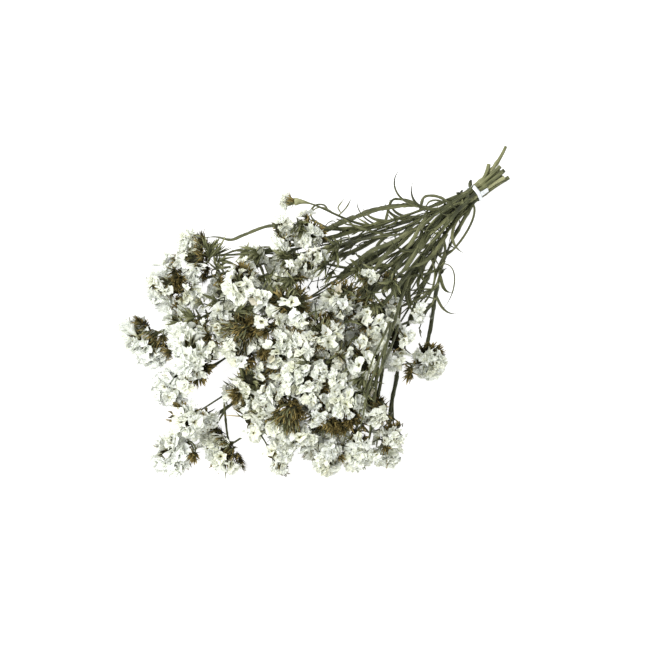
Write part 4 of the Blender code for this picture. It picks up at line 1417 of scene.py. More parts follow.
def dress_gaps(shape, head, rng):
    """Pointed bracts beside each calyx, and a tuft of them in each wider cleft."""
    roots, tips, clefts = calyx_places(head, np.random.default_rng(head.seed()))
    greenish = float(np.interp(seen(head.centre)[1], *GREEN_DOWN))
    for base, top in clefts:
        count = int(rng.integers(7, 12))
        bases = base + scatter(rng, 1.5, count)
        ends = top + scatter(rng, 3.4, count)
        kept = beside_gaps(ends)
        bases, ends, count = bases[kept], ends[kept], int(kept.sum())
        backs = across_of(ends - bases, rng)[0]
        widths = sizes(rng, (1.3, 2.8), count)
        tones = rng.uniform(0.2, 1.5, size=count)
        look = IN_GREEN if rng.random() < greenish else IN_BROWN
        blades(shape, bases, ends, backs, widths, tones, look, rng, bend=0.1)
    count = len(roots)
    first = across_of(units(tips - roots), rng)[0]
    for aside in (first, -first):
        long = rng.random(count) < 0.3
        share = np.where(long, rng.uniform(0.85, 0.98, count), rng.uniform(0.55, 0.85, count))
        ends = roots + share[:, None] * (tips - roots) + sizes(rng, (2.2, 4.4), (count, 1)) * aside
        widths = sizes(rng, (1.4, 2.6), count)
        tones = rng.uniform(0, 1, size=count)
        blades(shape, roots + MM * aside, ends, aside, widths, tones, IN_BROWN, rng, bend=0.08)


def receptacle(shape, head, rng):
    """The dark, bumpy core that the calyxes and bracts stand on."""
    rows, columns = RECEPTACLE_GRID
    lift = np.linspace(-pi / 2, pi / 2, rows)[:, None]
    turn = (2 * pi * np.arange(columns) / columns)[None]
    ball = np.stack((np.cos(lift) * np.cos(turn), np.cos(lift) * np.sin(turn),
                     np.sin(lift) * np.ones_like(turn)), axis=2)
    ball = ball * rng.uniform(0.9, 1.1, size=(rows, columns, 1))
    size = np.array(RECEPTACLE) * (head.half_length, head.half_width, head.reach)
    radii = np.broadcast_to(size, ball.shape).copy()
    radii[ball[..., 2] < 0, 2] = RECEPTACLE_BACK * head.back
    points = head.core() + (ball * radii) @ np.array((head.spine, head.side, head.face))
    faces = grid_faces(rows, columns, True, 1, 0)
    shape.add(points, [faces], IN_BROWN, 0.1, rng.random())


def wave_all(courses, leaves):
    """Waves each spray's lines, but not in the band or near a head.

    The shift depends on the place alone, so a branch stays on its stem.
    """
    for number in range(len(SPRAYS)):
        rng = np.random.default_rng(WAVE_SEED + number)
        ways = rng.normal(size=(WAVES, 3))
        ways *= 2 * pi / sizes(rng, WAVE_LENGTHS, (WAVES, 1)) / length_of(ways)
        pushes = rng.normal(size=(WAVES, 3))
        pushes *= sizes(rng, WAVE_SWINGS, (WAVES, 1)) / length_of(pushes)
        phases = rng.uniform(0, 2 * pi, size=WAVES)

        def waved(points, head):
            ease = np.clip((-points[:, 0] - TIED_HALF_LENGTH) / WAVES_START, 0, 1)
            if head:
                apart = np.linalg.norm(points - head.centre, axis=1)
                ease = ease * np.clip((apart - head.half_width) / WAVES_STOP, 0, 1)
            moved = points + ease[:, None] * (np.sin(points @ ways.T + phases) @ pushes)
            moved[:, 2] = np.where(ease > 0, np.maximum(moved[:, 2], LOWEST_WAVE), points[:, 2])
            return moved

        for course in courses:
            if course.spray == number:
                course.points = waved(course.points, course.head)
        for n, (spray, leaf) in enumerate(leaves):
            if spray == number:
                leaves[n] = (spray, waved(leaf, None))


def fine_line(points, step):
    """A smooth curve through all the points, in short steps of about this length."""
    padded = np.concatenate((2 * points[:1] - points[1:2], points, 2 * points[-1:] - points[-2:-1]))
    pieces = []
    for a, b, c, d in zip(padded, padded[1:], padded[2:], padded[3:]):
        count = max(1, round(np.linalg.norm(c - b) / step))
        t = np.arange(count)[:, None] / count
        pieces.append(0.5 * (
            2 * b + (c - a) * t + (2 * a - 5 * b + 4 * c - d) * t**2 + (3 * b - a - 3 * c + d) * t**3
        ))
    return np.concatenate(pieces + [points[-1:]])


def loft(shape, line, outline, look, twist, tone, tip_look=None):
    """A closed skin along a line. The outline gives its corners across, station by station."""
    stations, corners = outline.shape[:2]
    pairs = np.array(frames(line, twist))
    points = line[:, None] + np.einsum("skc,scd->skd", outline, pairs)
    travelled = np.concatenate(([0], np.cumsum(length_of(np.diff(line, axis=0)))))
    lengthwise = np.broadcast_to(travelled[:, None, None], (stations, corners, 1))
    grain = np.concatenate((outline, lengthwise), axis=2)
    tone = np.broadcast_to(tone, stations)
    grain = grain + tone[0] * GRAIN_SHIFT
    faces = grid_faces(stations, corners, True, 1, 0)
    # How far out each corner lies, from the middle to the outermost wing or rib; the green material uses it
    # to paint a highlight on the wings and ribs.
    outermost = length_of(outline)[..., 0]
    edge = np.clip(outermost / outermost.max() * 1.6 - 0.6, 0, 1)
    shape.add(points, [faces], look, edge.ravel(), np.repeat(tone, corners), grain.reshape(-1, 3))
    for end in (0, stations - 1):
        ring = points[end]
        middle = ring.mean(0)
        fan = [(corners, (n + 1) % corners, n) for n in range(corners)]
        shape.add(np.concatenate((ring, [middle])), [fan], tip_look if tip_look is not None else look,
                  0.5, tone[end])


def narrowed(share, fullness, power, least):
    """How wide a blade is along it, as shares of its full width: even, then narrower to its tip."""
    return np.clip(fullness * (1 - share**power), least, 1)


def strap(half, thick, facing):
    """A narrow blade's outline with a low rib, turned to show its flat side or its edge."""
    outline = np.stack((
        np.stack((half, -0.15 * half), axis=1), np.stack((0.15 * half, thick), axis=1),
        np.stack((-half, -0.15 * half), axis=1), np.stack((0.1 * half, -thick), axis=1),
    ), axis=1)
    c, s = cos(facing), sin(facing)
    return outline @ np.array(((c, s), (-s, c)))


def stem_outline(wings, bodies):
    """A ribbed body between two thin wings, for each station of a stem."""
    stations = len(wings)
    outline = np.zeros((stations, 16, 2))
    body, wing = bodies[:, None], wings[:, None]
    right = np.zeros((stations, 5, 2))
    right[:, 0] = np.concatenate((wing, 0.1 * body), axis=1)
    wing_share, rise = STEM_SECTION[1]
    right[:, 1] = np.concatenate((wing_share * (wing + 0.8 * body), rise * body), axis=1)
    for n in (2, 3, 4):
        right[:, n] = body * STEM_SECTION[n]
    upper = np.concatenate((right, right[:, 3::-1] * (-1, 1)), axis=1)
    outline[:, :9] = upper
    outline[:, 9:] = upper[:, -2:0:-1] * (1, -1)
    return outline


def ribbed_round(radii, count, depth):
    """A round outline with shallow ribs, for each station of a branch."""
    turn = 2 * pi * np.arange(count) / count
    ribs = 1 + depth * np.cos(turn * count / 2)
    circle = np.column_stack((np.cos(turn), np.sin(turn))) * ribs[:, None]
    return radii[:, None, None] * circle[None]


def dress_stem(shape, course, rng):
    """One main stem: round in the band, flat and winged beyond it, with swollen joints."""
    draw = random.Random(len(course.points) * STEM_SEED + course.spray)
    line = fine_line(course.points, FINE_STEP)
    share = np.linspace(0, 1, len(line))
    radii = STEM_RADIUS + share * (STEM_TIP_RADIUS - STEM_RADIUS)
    if line[:, 0].max() > LONG_CUT:
        radii = radii * np.interp(line[:, 0], *KNOB)
    beyond = np.clip((-line[:, 0] - TIED_HALF_LENGTH) / WING_START, 0, 1)
    full = STEM_WING + share * (STEM_TIP_WING - STEM_WING)
    travelled = share * len(line) * FINE_STEP
    swollen = np.zeros(len(line))
    for joint in np.cumsum(rng.uniform(*JOINT_GAPS, size=JOINTS)) * MM:
        swollen += np.exp(-(((travelled - joint) / JOINT_LENGTH) ** 2))
    in_band = abs(line[:, 0]) < TIED_HALF_LENGTH
    swollen = 1 + np.where(in_band, 0, JOINT_SWELLING) * np.clip(swollen, 0, 1)
    ripple = 1 + 0.16 * np.sin(travelled / (9 * MM) + draw.uniform(0, 6)) * beyond
    ripple += 0.025 * beyond * rng.normal(size=len(line))
    wings = radii + beyond * (full - radii)
    bodies = radii * (1 - 0.3 * beyond)
    outline = stem_outline(wings * ripple * swollen, bodies * swollen)
    tone = KNOB_TONE if line[:, 0].max() > LONG_CUT else rng.random()
    tone = tone + CUT_PALENESS * (0.5 + 0.8 * tone) * (line[:, 0] > 0)
    loft(shape, line, outline, IN_GREEN, 2 * draw.uniform(8, 16), tone, IN_PITH)


def dress_branch(shape, course, rng):
    """One side branch, thick where it leaves the stem and thin below its head."""
    draw = random.Random(len(course.points) * STEM_SEED + course.spray)
    line = fine_line(course.points, FINE_STEP)
    share = np.linspace(0, 1, len(line))
    radii = BRANCH_RADIUS + share * (0.8 * BRANCH_TIP_RADIUS - BRANCH_RADIUS)
    radii = radii * (1 + 0.5 * np.exp(-share * 14))
    outline = ribbed_round(radii, 10, 0.12) * (1.25, 0.8)
    loft(shape, line, outline, IN_GREEN, draw.uniform(-12, 12), rng.random())


def dress_leaf(shape, leaf, rng):
    """One curled, strap-like blade with a raised rib."""
    line = fine_line(leaf, FINE_STEP)
    share = np.linspace(0, 1, len(line))
    stalk = 0.55 + 0.45 * np.clip(6 * share, 0, 1)
    half = 1.35 * LEAF_HALF_WIDTH * narrowed(share, 1.2, 2.2, 0.12) * stalk
    outline = strap(half, 0.35 * MM * (1.3 - share), rng.uniform(-0.6, 0.6) + pi / 2)
    loft(shape, line, outline, IN_GREEN, rng.uniform(-10, 10), rng.random())


def seen(points):
    """How far right of the band and down from it the picture shows points, in millimetres."""
    away = points @ from_picture(0, 1, 0)
    height = points[..., 2] - BAND_HEIGHT
    down = -away * sin(PICTURE_ELEVATION) - height * cos(PICTURE_ELEVATION)
    return np.stack((points @ from_picture(1, 0, 0), down), axis=-1) / MM


def under(right, down, up):
    """The point at this height that the picture shows at this place."""
    drop = (up - BAND_HEIGHT) * cos(PICTURE_ELEVATION)
    return from_picture(right * MM, -(down * MM + drop) / sin(PICTURE_ELEVATION), up)


def held_at(place, courses):
    """The bead of a stem, with its stem's number, that is nearest to a place in the picture."""
    nearest = None
    for course in courses:
        apart = np.linalg.norm(seen(course.points) - place, axis=1)
        worth = apart - 0.12 * course.points[:, 2] / MM
        worth[: course.fixed] += 30
        at = int(worth.argmin())
        if nearest is None or worth[at] < nearest[0]:
            nearest = (worth[at], course.spray, course.points[at])
    return nearest[1:]


def lay_strands(courses):
    """The loose strands: for each its stem's number, its line and its half width."""
    laid = []
    for half, gain, returns, places in STRANDS:
        spray, root = held_at(places[0], courses)
        end = held_at(places[-1], courses)[1] if returns else None
        share = np.linspace(0, 1, len(places))
        if returns:
            heights = root[2] + share * (end[2] - root[2]) + gain * MM * np.sin(pi * share)
        else:
            heights = root[2] + gain * MM * share
        if gain > OVER_HEADS:
            heights = np.maximum(heights, [top_at(place) for place in places])
        points = [under(right, down, up) for (right, down), up in zip(places, heights)]
        points[0] = root
        if returns:
            points[-1] = end
        laid.append((spray, np.array(points), half * MM))
    return laid


def dress_strand(shape, points, half, rng):
    """One loose strand, flat side up, narrower towards its tip."""
    line = fine_line(points, FINE_STEP)
    share = np.linspace(0, 1, len(line))
    wide = half * narrowed(share, 1.3, 4, 0.3) * (1 + 0.1 * rng.normal(size=len(line)))
    thick = np.minimum(0.45 * MM, 0.6 * half) * (1.2 - 0.4 * share)
    twist = rng.uniform(-1, 1) * (3 if half > 1.3 * MM else 9)
    tone = rng.uniform(0.1, 0.7) if points[:, 2].max() > HIGH_STRAND else rng.uniform(0.3, 1.1)
    loft(shape, line, strap(wide, thick, pi / 2), IN_GREEN, twist, tone)


def tendril(shape, start, heading, length, rng):
    """A thin dried thread that curls up towards its tip."""
    outward = unit(np.cross(heading, rng.normal(size=3)))
    axis = np.cross(heading, outward)
    curl_by = rng.uniform(1.5, 4.5) * rng.choice((-1, 1))
    points = [start]
    for n in range(TENDRIL_STEPS):
        share = n / TENDRIL_STEPS
        angle = 0.5 + curl_by * share**1.6
        step = cos(angle) * heading + sin(angle) * outward + 0.25 * sin(5 * share) * axis
        points.append(points[-1] + unit(step) * length / TENDRIL_STEPS)
    line = np.array(points)
    line[:, 2] = np.maximum(line[:, 2], 1.2 * MM)
    radii = np.linspace(0.7, 0.35, len(line)) * MM
    loft(shape, line, ribbed_round(radii, 6, 0), IN_GREEN, 0.0, rng.random())


def dress_shoot(shape, points, kind, rng):
    """A thin side shoot, with blades at its end that suit its kind."""
    line = fine_line(points, 1.6 * FINE_STEP)
    radii = np.linspace(rng.uniform(0.8, 1.15), 0.55, len(line)) * MM
    outline = ribbed_round(radii, 6, 0.1) * (1.3, 0.8)
    loft(shape, line, outline, IN_GREEN, rng.uniform(-12, 12), rng.random())
    heading = unit(points[-1] - points[-2])
    count, spread, least, most, look = SHOOT_ENDS[kind]
    if kind == "bracts":
        heading = unit(heading + 0.4 * SIGHT)
    ways = units(heading + spread * rng.normal(size=(count, 3)))
    reach = sizes(rng, (least, most), (count, 1))
    bases = points[-1] - sizes(rng, (0, 3), (count, 1)) * heading
    widths = rng.uniform(0.12, 0.22, size=count) * reach[:, 0]
    ends = bases + reach * ways
    kept = beside_gaps(ends) & beside_gaps(bases)
    backs = across_of(ways, rng)[0][kept]
    blades(shape, bases[kept], ends[kept], backs, widths[kept], rng.random(int(kept.sum())), look, rng)


def swollen_base(shape, course):
    """The pale green, swollen end of the stem below a small bud."""
    line = fine_line(course.points[-5:], 1.5 * MM)
    share = np.linspace(0, 1, len(line))
    radii = (0.9 + 3.4 * share**1.3 * np.clip(6 * (1.1 - share), 0, 1)) * MM
    loft(shape, line, ribbed_round(radii, 12, 0.08), IN_GREEN, 4.0, 1.6)


def bow(shape, start, end, rng):
    """A narrow dried blade that arches off its stem and comes back to it."""
    along = end - start
    aside = unit(np.cross(along, rng.normal(size=3)))
    aside[2] = abs(aside[2]) * 0.6
    far = rng.uniform(0.2, 0.5) * np.linalg.norm(along)
    leave = start + far * aside + rng.uniform(-0.1, 0.4) * along
    arrive = end + rng.uniform(0.5, 1.1) * far * aside - rng.uniform(-0.5, 0.3) * along
    line = bezier(start, leave, arrive, end + rng.normal(scale=2.5, size=3) * MM, 24)
    line = line[: int(rng.integers(15, 25))]
    line[:, 2] = np.maximum(line[:, 2], 1.5 * MM)
    share = np.linspace(0, 1, len(line))
    half = rng.uniform(0.9, 1.7) * MM * narrowed(share, 1.25, 3, 0.25)
    outline = strap(half, 0.35 * MM * (1.3 - share), rng.uniform(0.9, 2.2))
    loft(shape, line, outline, IN_GREEN, rng.uniform(-12, 12), rng.random())


def scrap(shape, start, rng):
    """A short, dark, shrivelled leaf on the lower part of a stem."""
    way = rng.normal(size=3) + (rng.choice((-1.6, 1.6)), 0, 0)
    way[2] = abs(way[2])
    tip = start + rng.uniform(5, 10) * MM * unit(way)
    blades(shape, start[None], tip[None], across_of(unit(way)[None], rng)[0],
           sizes(rng, (1.8, 4.4), 1), rng.uniform(-0.9, 0.6, size=1), IN_GREEN, rng, bend=0.6)


def stub(shape):
    """The dark, withered leaf base that stands out of the band."""
    line = bezier(*(under(right, down, BAND_HEIGHT + 4 * MM) for right, down in STUB), 9)
    radii = np.array((1.4, 1.6, 1.7, 1.7, 1.8, 2.0, 2.1, 1.7, 0.8)) * MM
    loft(shape, line, ribbed_round(radii, 10, 0.1), IN_GREEN, 3.0, -0.5)


def spiky_node(shape, root, spot, rng):
    """A cluster of pointed leaflets that spread to one side of a stem."""
    _, _, count, least, most, bearing = spot
    bearings = radians(bearing) + rng.normal(scale=0.45, size=(count, 1))
    lifts = rng.normal(scale=0.3, size=(count, 1))
    ways = (
        np.cos(bearings) * from_picture(1, 0, 0) + np.sin(bearings) * from_picture(0, 1, 0)
        + (0.15 + lifts) * SIGHT
    )
    ways = units(ways)
    ends = root + sizes(rng, (least, most), (count, 1)) * ways
    widths = sizes(rng, (2.0, 3.8), count)
    blades(shape, np.broadcast_to(root, (count, 3)), ends, across_of(ways, rng)[0], widths,
           rng.random(count), IN_GREEN, rng, bend=0.1)


def dress_joints(shape, course, rng):
    """Pointed leaflets where a branch leaves its stem, and below each head."""
    points = course.points
    places = [] if is_bud(course.head) else [(len(points) - 5, 5, 9, 17)]
    if course.parent:
        places.append((1, 3, 9, 20))
    for index, count, least, most in places:
        heading = unit(points[index + 1] - points[index - 1])
        for _ in range(count):
            aside = unit(np.cross(heading, rng.normal(size=3)))
            length = rng.uniform(least, most) * MM
            tip = points[index] + length * unit(heading + rng.uniform(0.25, 0.8) * aside)
            tip[2] = max(tip[2], 1.5 * MM)
            blades(shape, points[index][None], tip[None], aside[None],
                   sizes(rng, (2.4, 4.4), 1), rng.random(1), IN_GREEN, rng, bend=0.1)


def dress_spray(number, courses, leaves, shoots, strands, materials):
    """One stem with all that grows on it but its florets, in place of its node."""
    rng = np.random.default_rng(SPRAY_SEED + number)
    shape = Shape()
    own = [course for course in courses if course.spray == number]
    for course in own:
        if course.parent:
            dress_branch(shape, course, rng)
        else:
            dress_stem(shape, course, rng)
        dress_joints(shape, course, rng)
        if is_bud(course.head):
            dress_bud(shape, course.head, rng)
            continue
        receptacle(shape, course.head, rng)
        dress_bracts(shape, course.head, rng)
        dress_fan(shape, course.head, rng)
        dress_gaps(shape, course.head, rng)
    for spray, leaf in leaves:
        if spray == number:
            dress_leaf(shape, leaf, rng)
    for spray, line, kind in shoots:
        if spray == number:
            dress_shoot(shape, line, kind, rng)
    for spray, line, half in strands:
        if spray == number:
            dress_strand(shape, line, half, rng)
    for course in own:
        if course.head.half_width < BUD_HEAD:
            swollen_base(shape, course)
    for spot in SPIKY_NODES:
        spray, root = held_at(np.array(spot[:2]), courses)
        if spray == number:
            spiky_node(shape, root, spot, rng)
    if number == 0:
        stub(shape)
    main = own[0].points
    for _ in range(BOWS):
        at = own[0].fixed + int(rng.integers(0, 16))
        bow(shape, main[at], main[at + int(rng.integers(5, 14))], rng)
    for _ in range(SCRAPS):
        at = own[0].fixed + int(rng.integers(0, 22))
        scrap(shape, main[at], rng)
    at = int(rng.integers(own[0].fixed + 8, len(main) - 8))
    heading = unit(main[at + 1] - main[at])
    tendril(shape, main[at], heading, rng.uniform(*TENDRIL_LENGTHS) * MM, rng)
    shape.points = [keep_above_table(points, rng) for points in shape.points]
    piece = shape.piece(f"spray_{number + 1:02d}", materials)
    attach(piece, "root")
    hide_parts(f"stem_{number + 1:02d}")


# Materials


class Nodes:
    """Short calls for one material's node tree."""

    def __init__(self, name, roughness, **sockets):
        self.material = bpy.data.materials.new(name)
        self.material.use_nodes = True
        self.tree = self.material.node_tree
        self.shader = self.tree.nodes["Principled BSDF"]
        self.shader.inputs["Roughness"].default_value = roughness
        for socket, value in sockets.items():
            self.shader.inputs[socket.replace("_", " ")].default_value = value

    def link(self, source, target):
        self.tree.links.new(source, target)

    def attribute(self, name):
        node = self.tree.nodes.new("ShaderNodeAttribute")
        node.attribute_name = name
        return node

    def noise(self, vector, scale, detail=3.0, stretch=(1, 1, 1)):
        mapping = self.tree.nodes.new("ShaderNodeMapping")
        mapping.inputs["Scale"].default_value = stretch
        self.link(vector, mapping.inputs["Vector"])
        node = self.tree.nodes.new("ShaderNodeTexNoise")
        node.inputs["Scale"].default_value = scale
        node.inputs["Detail"].default_value = detail
        self.link(mapping.outputs["Vector"], node.inputs["Vector"])
        return node.outputs["Fac"]

    def ramp(self, value, *stops):
        node = self.tree.nodes.new("ShaderNodeValToRGB")
        elements = node.color_ramp.elements
        while len(elements) < len(stops):
            elements.new(0.5)
        for element, (position, colour) in zip(elements, stops):
            element.position = position
            element.color = (*colour, 1)
        self.link(value, node.inputs["Fac"])
        return node.outputs["Color"]

    def mix(self, factor, one, two, kind="MIX"):
        node = self.tree.nodes.new("ShaderNodeMix")
        node.data_type = "RGBA"
        node.blend_type = kind
        for source, socket in ((factor, 0), (one, 6), (two, 7)):
            if isinstance(source, bpy.types.NodeSocket):
                self.link(source, node.inputs[socket])
            else:
                node.inputs[socket].default_value = source
        return node.outputs[2]

    def sum(self, one, two, operation="ADD"):
        node = self.tree.nodes.new("ShaderNodeMath")
        node.operation = operation
        for source, socket in ((one, 0), (two, 1)):
            if isinstance(source, bpy.types.NodeSocket):
                self.link(source, node.inputs[socket])
            else:
                node.inputs[socket].default_value = source
        return node.outputs[0]

    def scaled(self, value, factor):
        return self.sum(value, factor, "MULTIPLY")

    def bump(self, height, strength, distance):
        node = self.tree.nodes.new("ShaderNodeBump")
        node.inputs["Strength"].default_value = strength
        node.inputs["Distance"].default_value = distance
        self.link(height, node.inputs["Height"])
        self.link(node.outputs["Normal"], self.shader.inputs["Normal"])

    def colour(self, output):
        self.link(output, self.shader.inputs["Base Color"])


def paper():
    """Dry white calyx paper: cream to white, brown at the throat, finely wrinkled, with darker veins that
    also paint the shade of the wrinkles.
    """
    m = Nodes("calyx_paper", 0.62, Specular_IOR_Level=0.3, Subsurface_Weight=0.35,
              Subsurface_Radius=(1.0, 0.97, 0.86), Subsurface_Scale=0.003)
    along, tone = m.attribute("along").outputs["Fac"], m.attribute("tone").outputs["Fac"]
    place = m.attribute("grain").outputs["Vector"]
    rib = m.noise(place, 950, 4)
    body = m.ramp(tone, (0.0, (0.9, 0.925, 0.915)), (0.5, (0.89, 0.91, 0.84)),
                  (0.985, (0.85, 0.86, 0.71)), (1.0, (0.55, 0.49, 0.38)))
    patchy = m.ramp(m.noise(place, 160, 2), (0.35, (0.9, 0.9, 0.84)), (0.6, (1, 1, 1)))
    # Darker fine veins, which also darken the wrinkles' dips: partly real veins, partly painted shade.
    veins_and_crinkle_shade = m.ramp(rib, (0.36, (0.65, 0.665, 0.58)), (0.54, (1, 1, 1)))
    body = m.mix(1.0, m.mix(0.6, body, patchy, "MULTIPLY"), veins_and_crinkle_shade, "MULTIPLY")
    throat = m.ramp(m.sum(along, m.scaled(rib, 0.12)), (0.1, (0.2, 0.18, 0.08)),
                    (0.42, (0.7, 0.67, 0.48)), (0.66, (1, 1, 1)))
    m.colour(m.mix(1.0, body, throat, "MULTIPLY"))
    m.bump(rib, 0.8, 0.0012)
    return m.material


def green():
    """Dried stem: olive green with darker blotches along it, and a painted highlight that makes its wings
    and ribs paler.
    """
    m = Nodes("stem_olive", 0.62, Specular_IOR_Level=0.4)
    place = m.attribute("grain").outputs["Vector"]
    tone, edge = m.attribute("tone").outputs["Fac"], m.attribute("along").outputs["Fac"]
    streak = m.noise(place, 1300, 3, (1, 1, 0.06))
    blotch = m.noise(place, 45, 3, (1, 1, 1))
    base = m.sum(m.scaled(blotch, 0.4), m.scaled(tone, 0.16))
    # The edge term lightens the outermost wings and ribs: a painted highlight.
    mixed = m.sum(m.sum(m.scaled(streak, 0.5), m.scaled(edge, 0.2)), base)
    m.colour(m.ramp(mixed, (0.38, (0.012, 0.014, 0.005)), (0.54, (0.058, 0.064, 0.024)),
                    (0.7, (0.155, 0.16, 0.07)), (0.92, (0.38, 0.38, 0.21))))
    m.bump(streak, 0.7, 0.0008)
    return m.material


def brown():
    """Dried bract: dark olive at its base, golden brown and brittle at its tip."""
    m = Nodes("bract_brown", 0.75, Specular_IOR_Level=0.3)
    along, tone = m.attribute("along").outputs["Fac"], m.attribute("tone").outputs["Fac"]
    place = m.attribute("grain").outputs["Vector"]
    speck = m.noise(place, 700, 3)
    reach = m.sum(m.scaled(along, 0.62), m.sum(m.scaled(speck, 0.35), m.scaled(tone, 0.3)))
    m.colour(m.ramp(reach, (0.26, (0.008, 0.008, 0.001)), (0.5, (0.028, 0.027, 0.006)),
                    (0.74, (0.085, 0.066, 0.016)), (1.0, (0.3, 0.225, 0.075))))
    m.bump(speck, 0.5, 0.0006)
    return m.material


def pith():
    """The pale, dry pith of a cut stem."""
    m = Nodes("stem_pith", 0.85)
    place = m.attribute("grain").outputs["Vector"]
    m.colour(m.ramp(m.noise(place, 1600, 2), (0.35, (0.16, 0.14, 0.07)), (0.7, (0.42, 0.38, 0.22))))
    return m.material


def film():
    """Glossy white plastic film, a little milky, with fine creases, and painted shade that greys it in
    them.
    """
    m = Nodes("band_film", 0.28, Coat_Weight=0.4)
    place = m.attribute("grain").outputs["Vector"]
    crease_and_shade = m.noise(place, 420, 3, (1, 0.3, 1))
    # Greyer where the creases dip: painted shade.
    m.colour(m.ramp(crease_and_shade, (0.3, (0.5, 0.53, 0.54)), (0.65, (0.8, 0.83, 0.85))))
    m.bump(crease_and_shade, 0.35, 0.0008)
    return m.material


def ring_of_cells(extra):
    """The line round all tied stems, at this distance outside their skins."""
    cells = [cell(row, place) for row, count in enumerate(BUNDLE_ROWS) for place in range(count)]
    samples = [(radians(360 / RING_STEPS * n), centre) for centre in cells for n in range(RING_STEPS)]
    radius = STEM_RADIUS + GAP
    spots = [(y + radius * cos(a), z + radius * sin(a)) for a, (y, z) in samples]
    hull = convex_hull_2d(spots)
    return [
        (spots[n][0] + extra * cos(samples[n][0]), spots[n][1] + extra * sin(samples[n][0]))
        for n in hull
    ]


def dress_band(materials):
    """The film wound round the stems, with a loose tail along the lower ones."""
    shape = Shape()
    inner = np.array(ring_of_cells(0.0))
    outer = np.array(ring_of_cells(BAND_THICKNESS))
    count = len(inner)
    steps = BAND_TURNS * count
    lines = []
    for n in range(steps + 1):
        share = n / steps
        x = (share - 0.5) * 0.5 * BAND_WIDTH
        lift = 0.35 + 0.55 * share
        out = outer[n % count] - inner[n % count]
        y, z = inner[n % count] + lift * out
        half = 0.25 * BAND_WIDTH
        ruck = 0.2 * MM * sin(n * 0.9)
        raised = inner[n % count] + (lift + 0.12) * out
        lines.append([(x - half + ruck, y, z), (x, *raised), (x + half + ruck, y, z)])
    shape.add(np.array(lines).reshape(-1, 3), [grid_faces(steps + 1, 3, False, 1, 0)], IN_ONE, 0.5, 0.5)
    middle = outer.mean(0)
    angles = np.degrees(np.arctan2(outer[:, 1] - middle[1], outer[:, 0] - middle[0])) % 360
    order = np.argsort(angles)
    angles = angles[order]
    stations, columns = TAIL_GRID
    for bearing, start, length, wide, lift in TAILS:
        way = np.array((cos(radians(bearing)), sin(radians(bearing))))
        root = np.array([np.interp(bearing, angles, outer[order, n], period=360) for n in range(2)])
        side = np.array((-way[1], way[0]))
        rows = []
        for n in range(stations):
            share = n / (stations - 1)
            x = start * MM + share * length * MM
            splay = (abs(x) / (40 * MM)) ** 2
            for k in range(columns):
                over = (k / (columns - 1) - 0.5) * wide * MM * (1 - 0.25 * share)
                bulge = (lift * share + 0.5 * splay * 6 + 0.35 * sin(5 * share + 1.6 * k) * share) * MM
                y, z = root + over * side + bulge * way - 0.35 * abs(over) * way * (1 - share)
                rows.append((x + 0.4 * MM * sin(2.2 * k) * share, y, z))
        shape.add(np.array(rows), [grid_faces(stations, columns, False, 1, 0)], IN_ONE, 0.5, 0.5)
    piece = shape.piece("band", materials)
    thick = piece.modifiers.new("thickness", "SOLIDIFY")
    thick.thickness = FILM_THICKNESS
    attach(piece, "root")
    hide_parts("tie")


def facing_from(where, side, up, facing):
    """The matrix of an object at a place, whose own x, y and z run side, up and facing."""
    return Matrix([(side[n], up[n], facing[n], where[n]) for n in range(3)] + [(0, 0, 0, 1)])


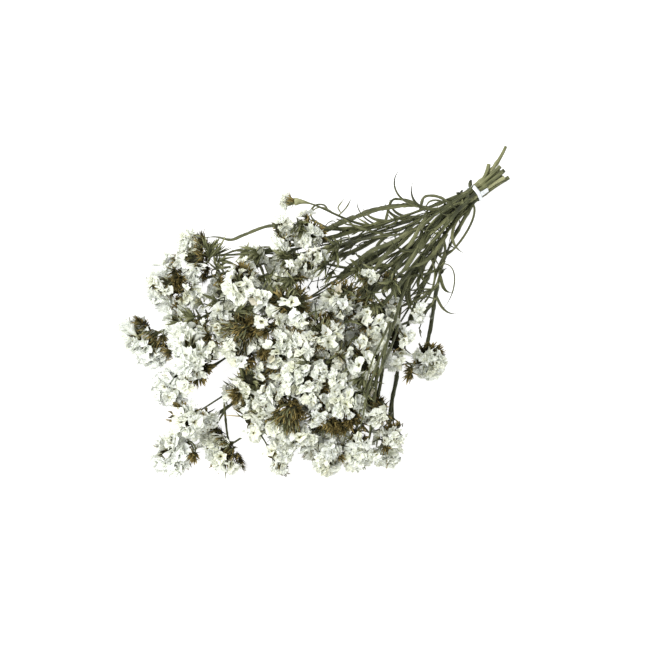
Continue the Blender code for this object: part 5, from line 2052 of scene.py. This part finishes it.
def stage_and_light():
    """A pale floor, an even bright room and one large soft light."""
    scene = bpy.context.scene
    mesh = bpy.data.meshes.new("floor")
    corners = [(FLOOR_SIZE * x, FLOOR_SIZE * y, 0) for x, y in ((-1, -1), (1, -1), (1, 1), (-1, 1))]
    mesh.from_pydata(corners, [], [(0, 1, 2, 3)])
    floor = bpy.data.objects.new("floor", mesh)
    scene.collection.objects.link(floor)
    m = Nodes("floor_white", 0.9)
    m.shader.inputs["Base Color"].default_value = (FLOOR_SHADE, FLOOR_SHADE, FLOOR_SHADE, 1)
    m.shader.inputs["Emission Color"].default_value = (1, 1, 1, 1)
    m.shader.inputs["Emission Strength"].default_value = FLOOR_GLOW
    mesh.materials.append(m.material)
    world = bpy.data.worlds.new("room")
    world.use_nodes = True
    background = world.node_tree.nodes["Background"]
    background.inputs["Color"].default_value = ROOM_COLOUR
    background.inputs["Strength"].default_value = ROOM_STRENGTH
    scene.world = world
    light = bpy.data.lights.new("key", "AREA")
    light.shape = "DISK"
    light.size = KEY_WIDTH
    light.energy = KEY_POWER
    key = bpy.data.objects.new("key", light)
    scene.collection.objects.link(key)
    where = from_picture(*KEY_PLACE)
    facing = unit(where)
    side = unit(np.cross((0, 0, 1), facing))
    key.matrix_world = facing_from(where, side, np.cross(facing, side), facing)
    scene.view_settings.view_transform = "Standard"


def place_camera():
    """The picture's own view: 70 degrees down, with the bunch aslant in the frame."""
    right = from_picture(1, 0, 0)
    up = np.cross(SIGHT, right)
    across, down = FRAME_CENTRE
    target = from_picture(across, down / sin(PICTURE_ELEVATION), BAND_HEIGHT) + ORIGIN
    where = target + CAMERA_DISTANCE * SIGHT
    data = bpy.data.cameras.new("camera")
    data.sensor_width = SENSOR_WIDTH
    data.lens = SENSOR_WIDTH * CAMERA_DISTANCE / FRAME_WIDTH
    data.clip_end = CAMERA_RANGE
    camera = bpy.data.objects.new("camera", data)
    bpy.context.scene.collection.objects.link(camera)
    camera.matrix_world = facing_from(where, right, up, SIGHT)
    bpy.context.scene.camera = camera


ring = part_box("tie")
ORIGIN = np.array(((ring[0][0] + ring[1][0]) / 2, (ring[0][1] + ring[1][1]) / 2, 0))
HEADS, COURSES = lay_out()
settle(HEADS, COURSES)
LEAVES = grow_leaves(HEADS, COURSES)
wave_all(COURSES, LEAVES)
SHOOTS = grow_shoots(COURSES)
LOOSE = lay_strands(COURSES)
PAPER, GREEN, BROWN, PITH, FILM = paper(), green(), brown(), pith(), film()
for each in HEADS:
    dress_head(each, SHOOTS, [PAPER])
for spray_number in range(len(SPRAYS)):
    dress_spray(spray_number, COURSES, LEAVES, SHOOTS, LOOSE, [GREEN, BROWN, PITH])
dress_band([FILM])
stage_and_light()
place_camera()
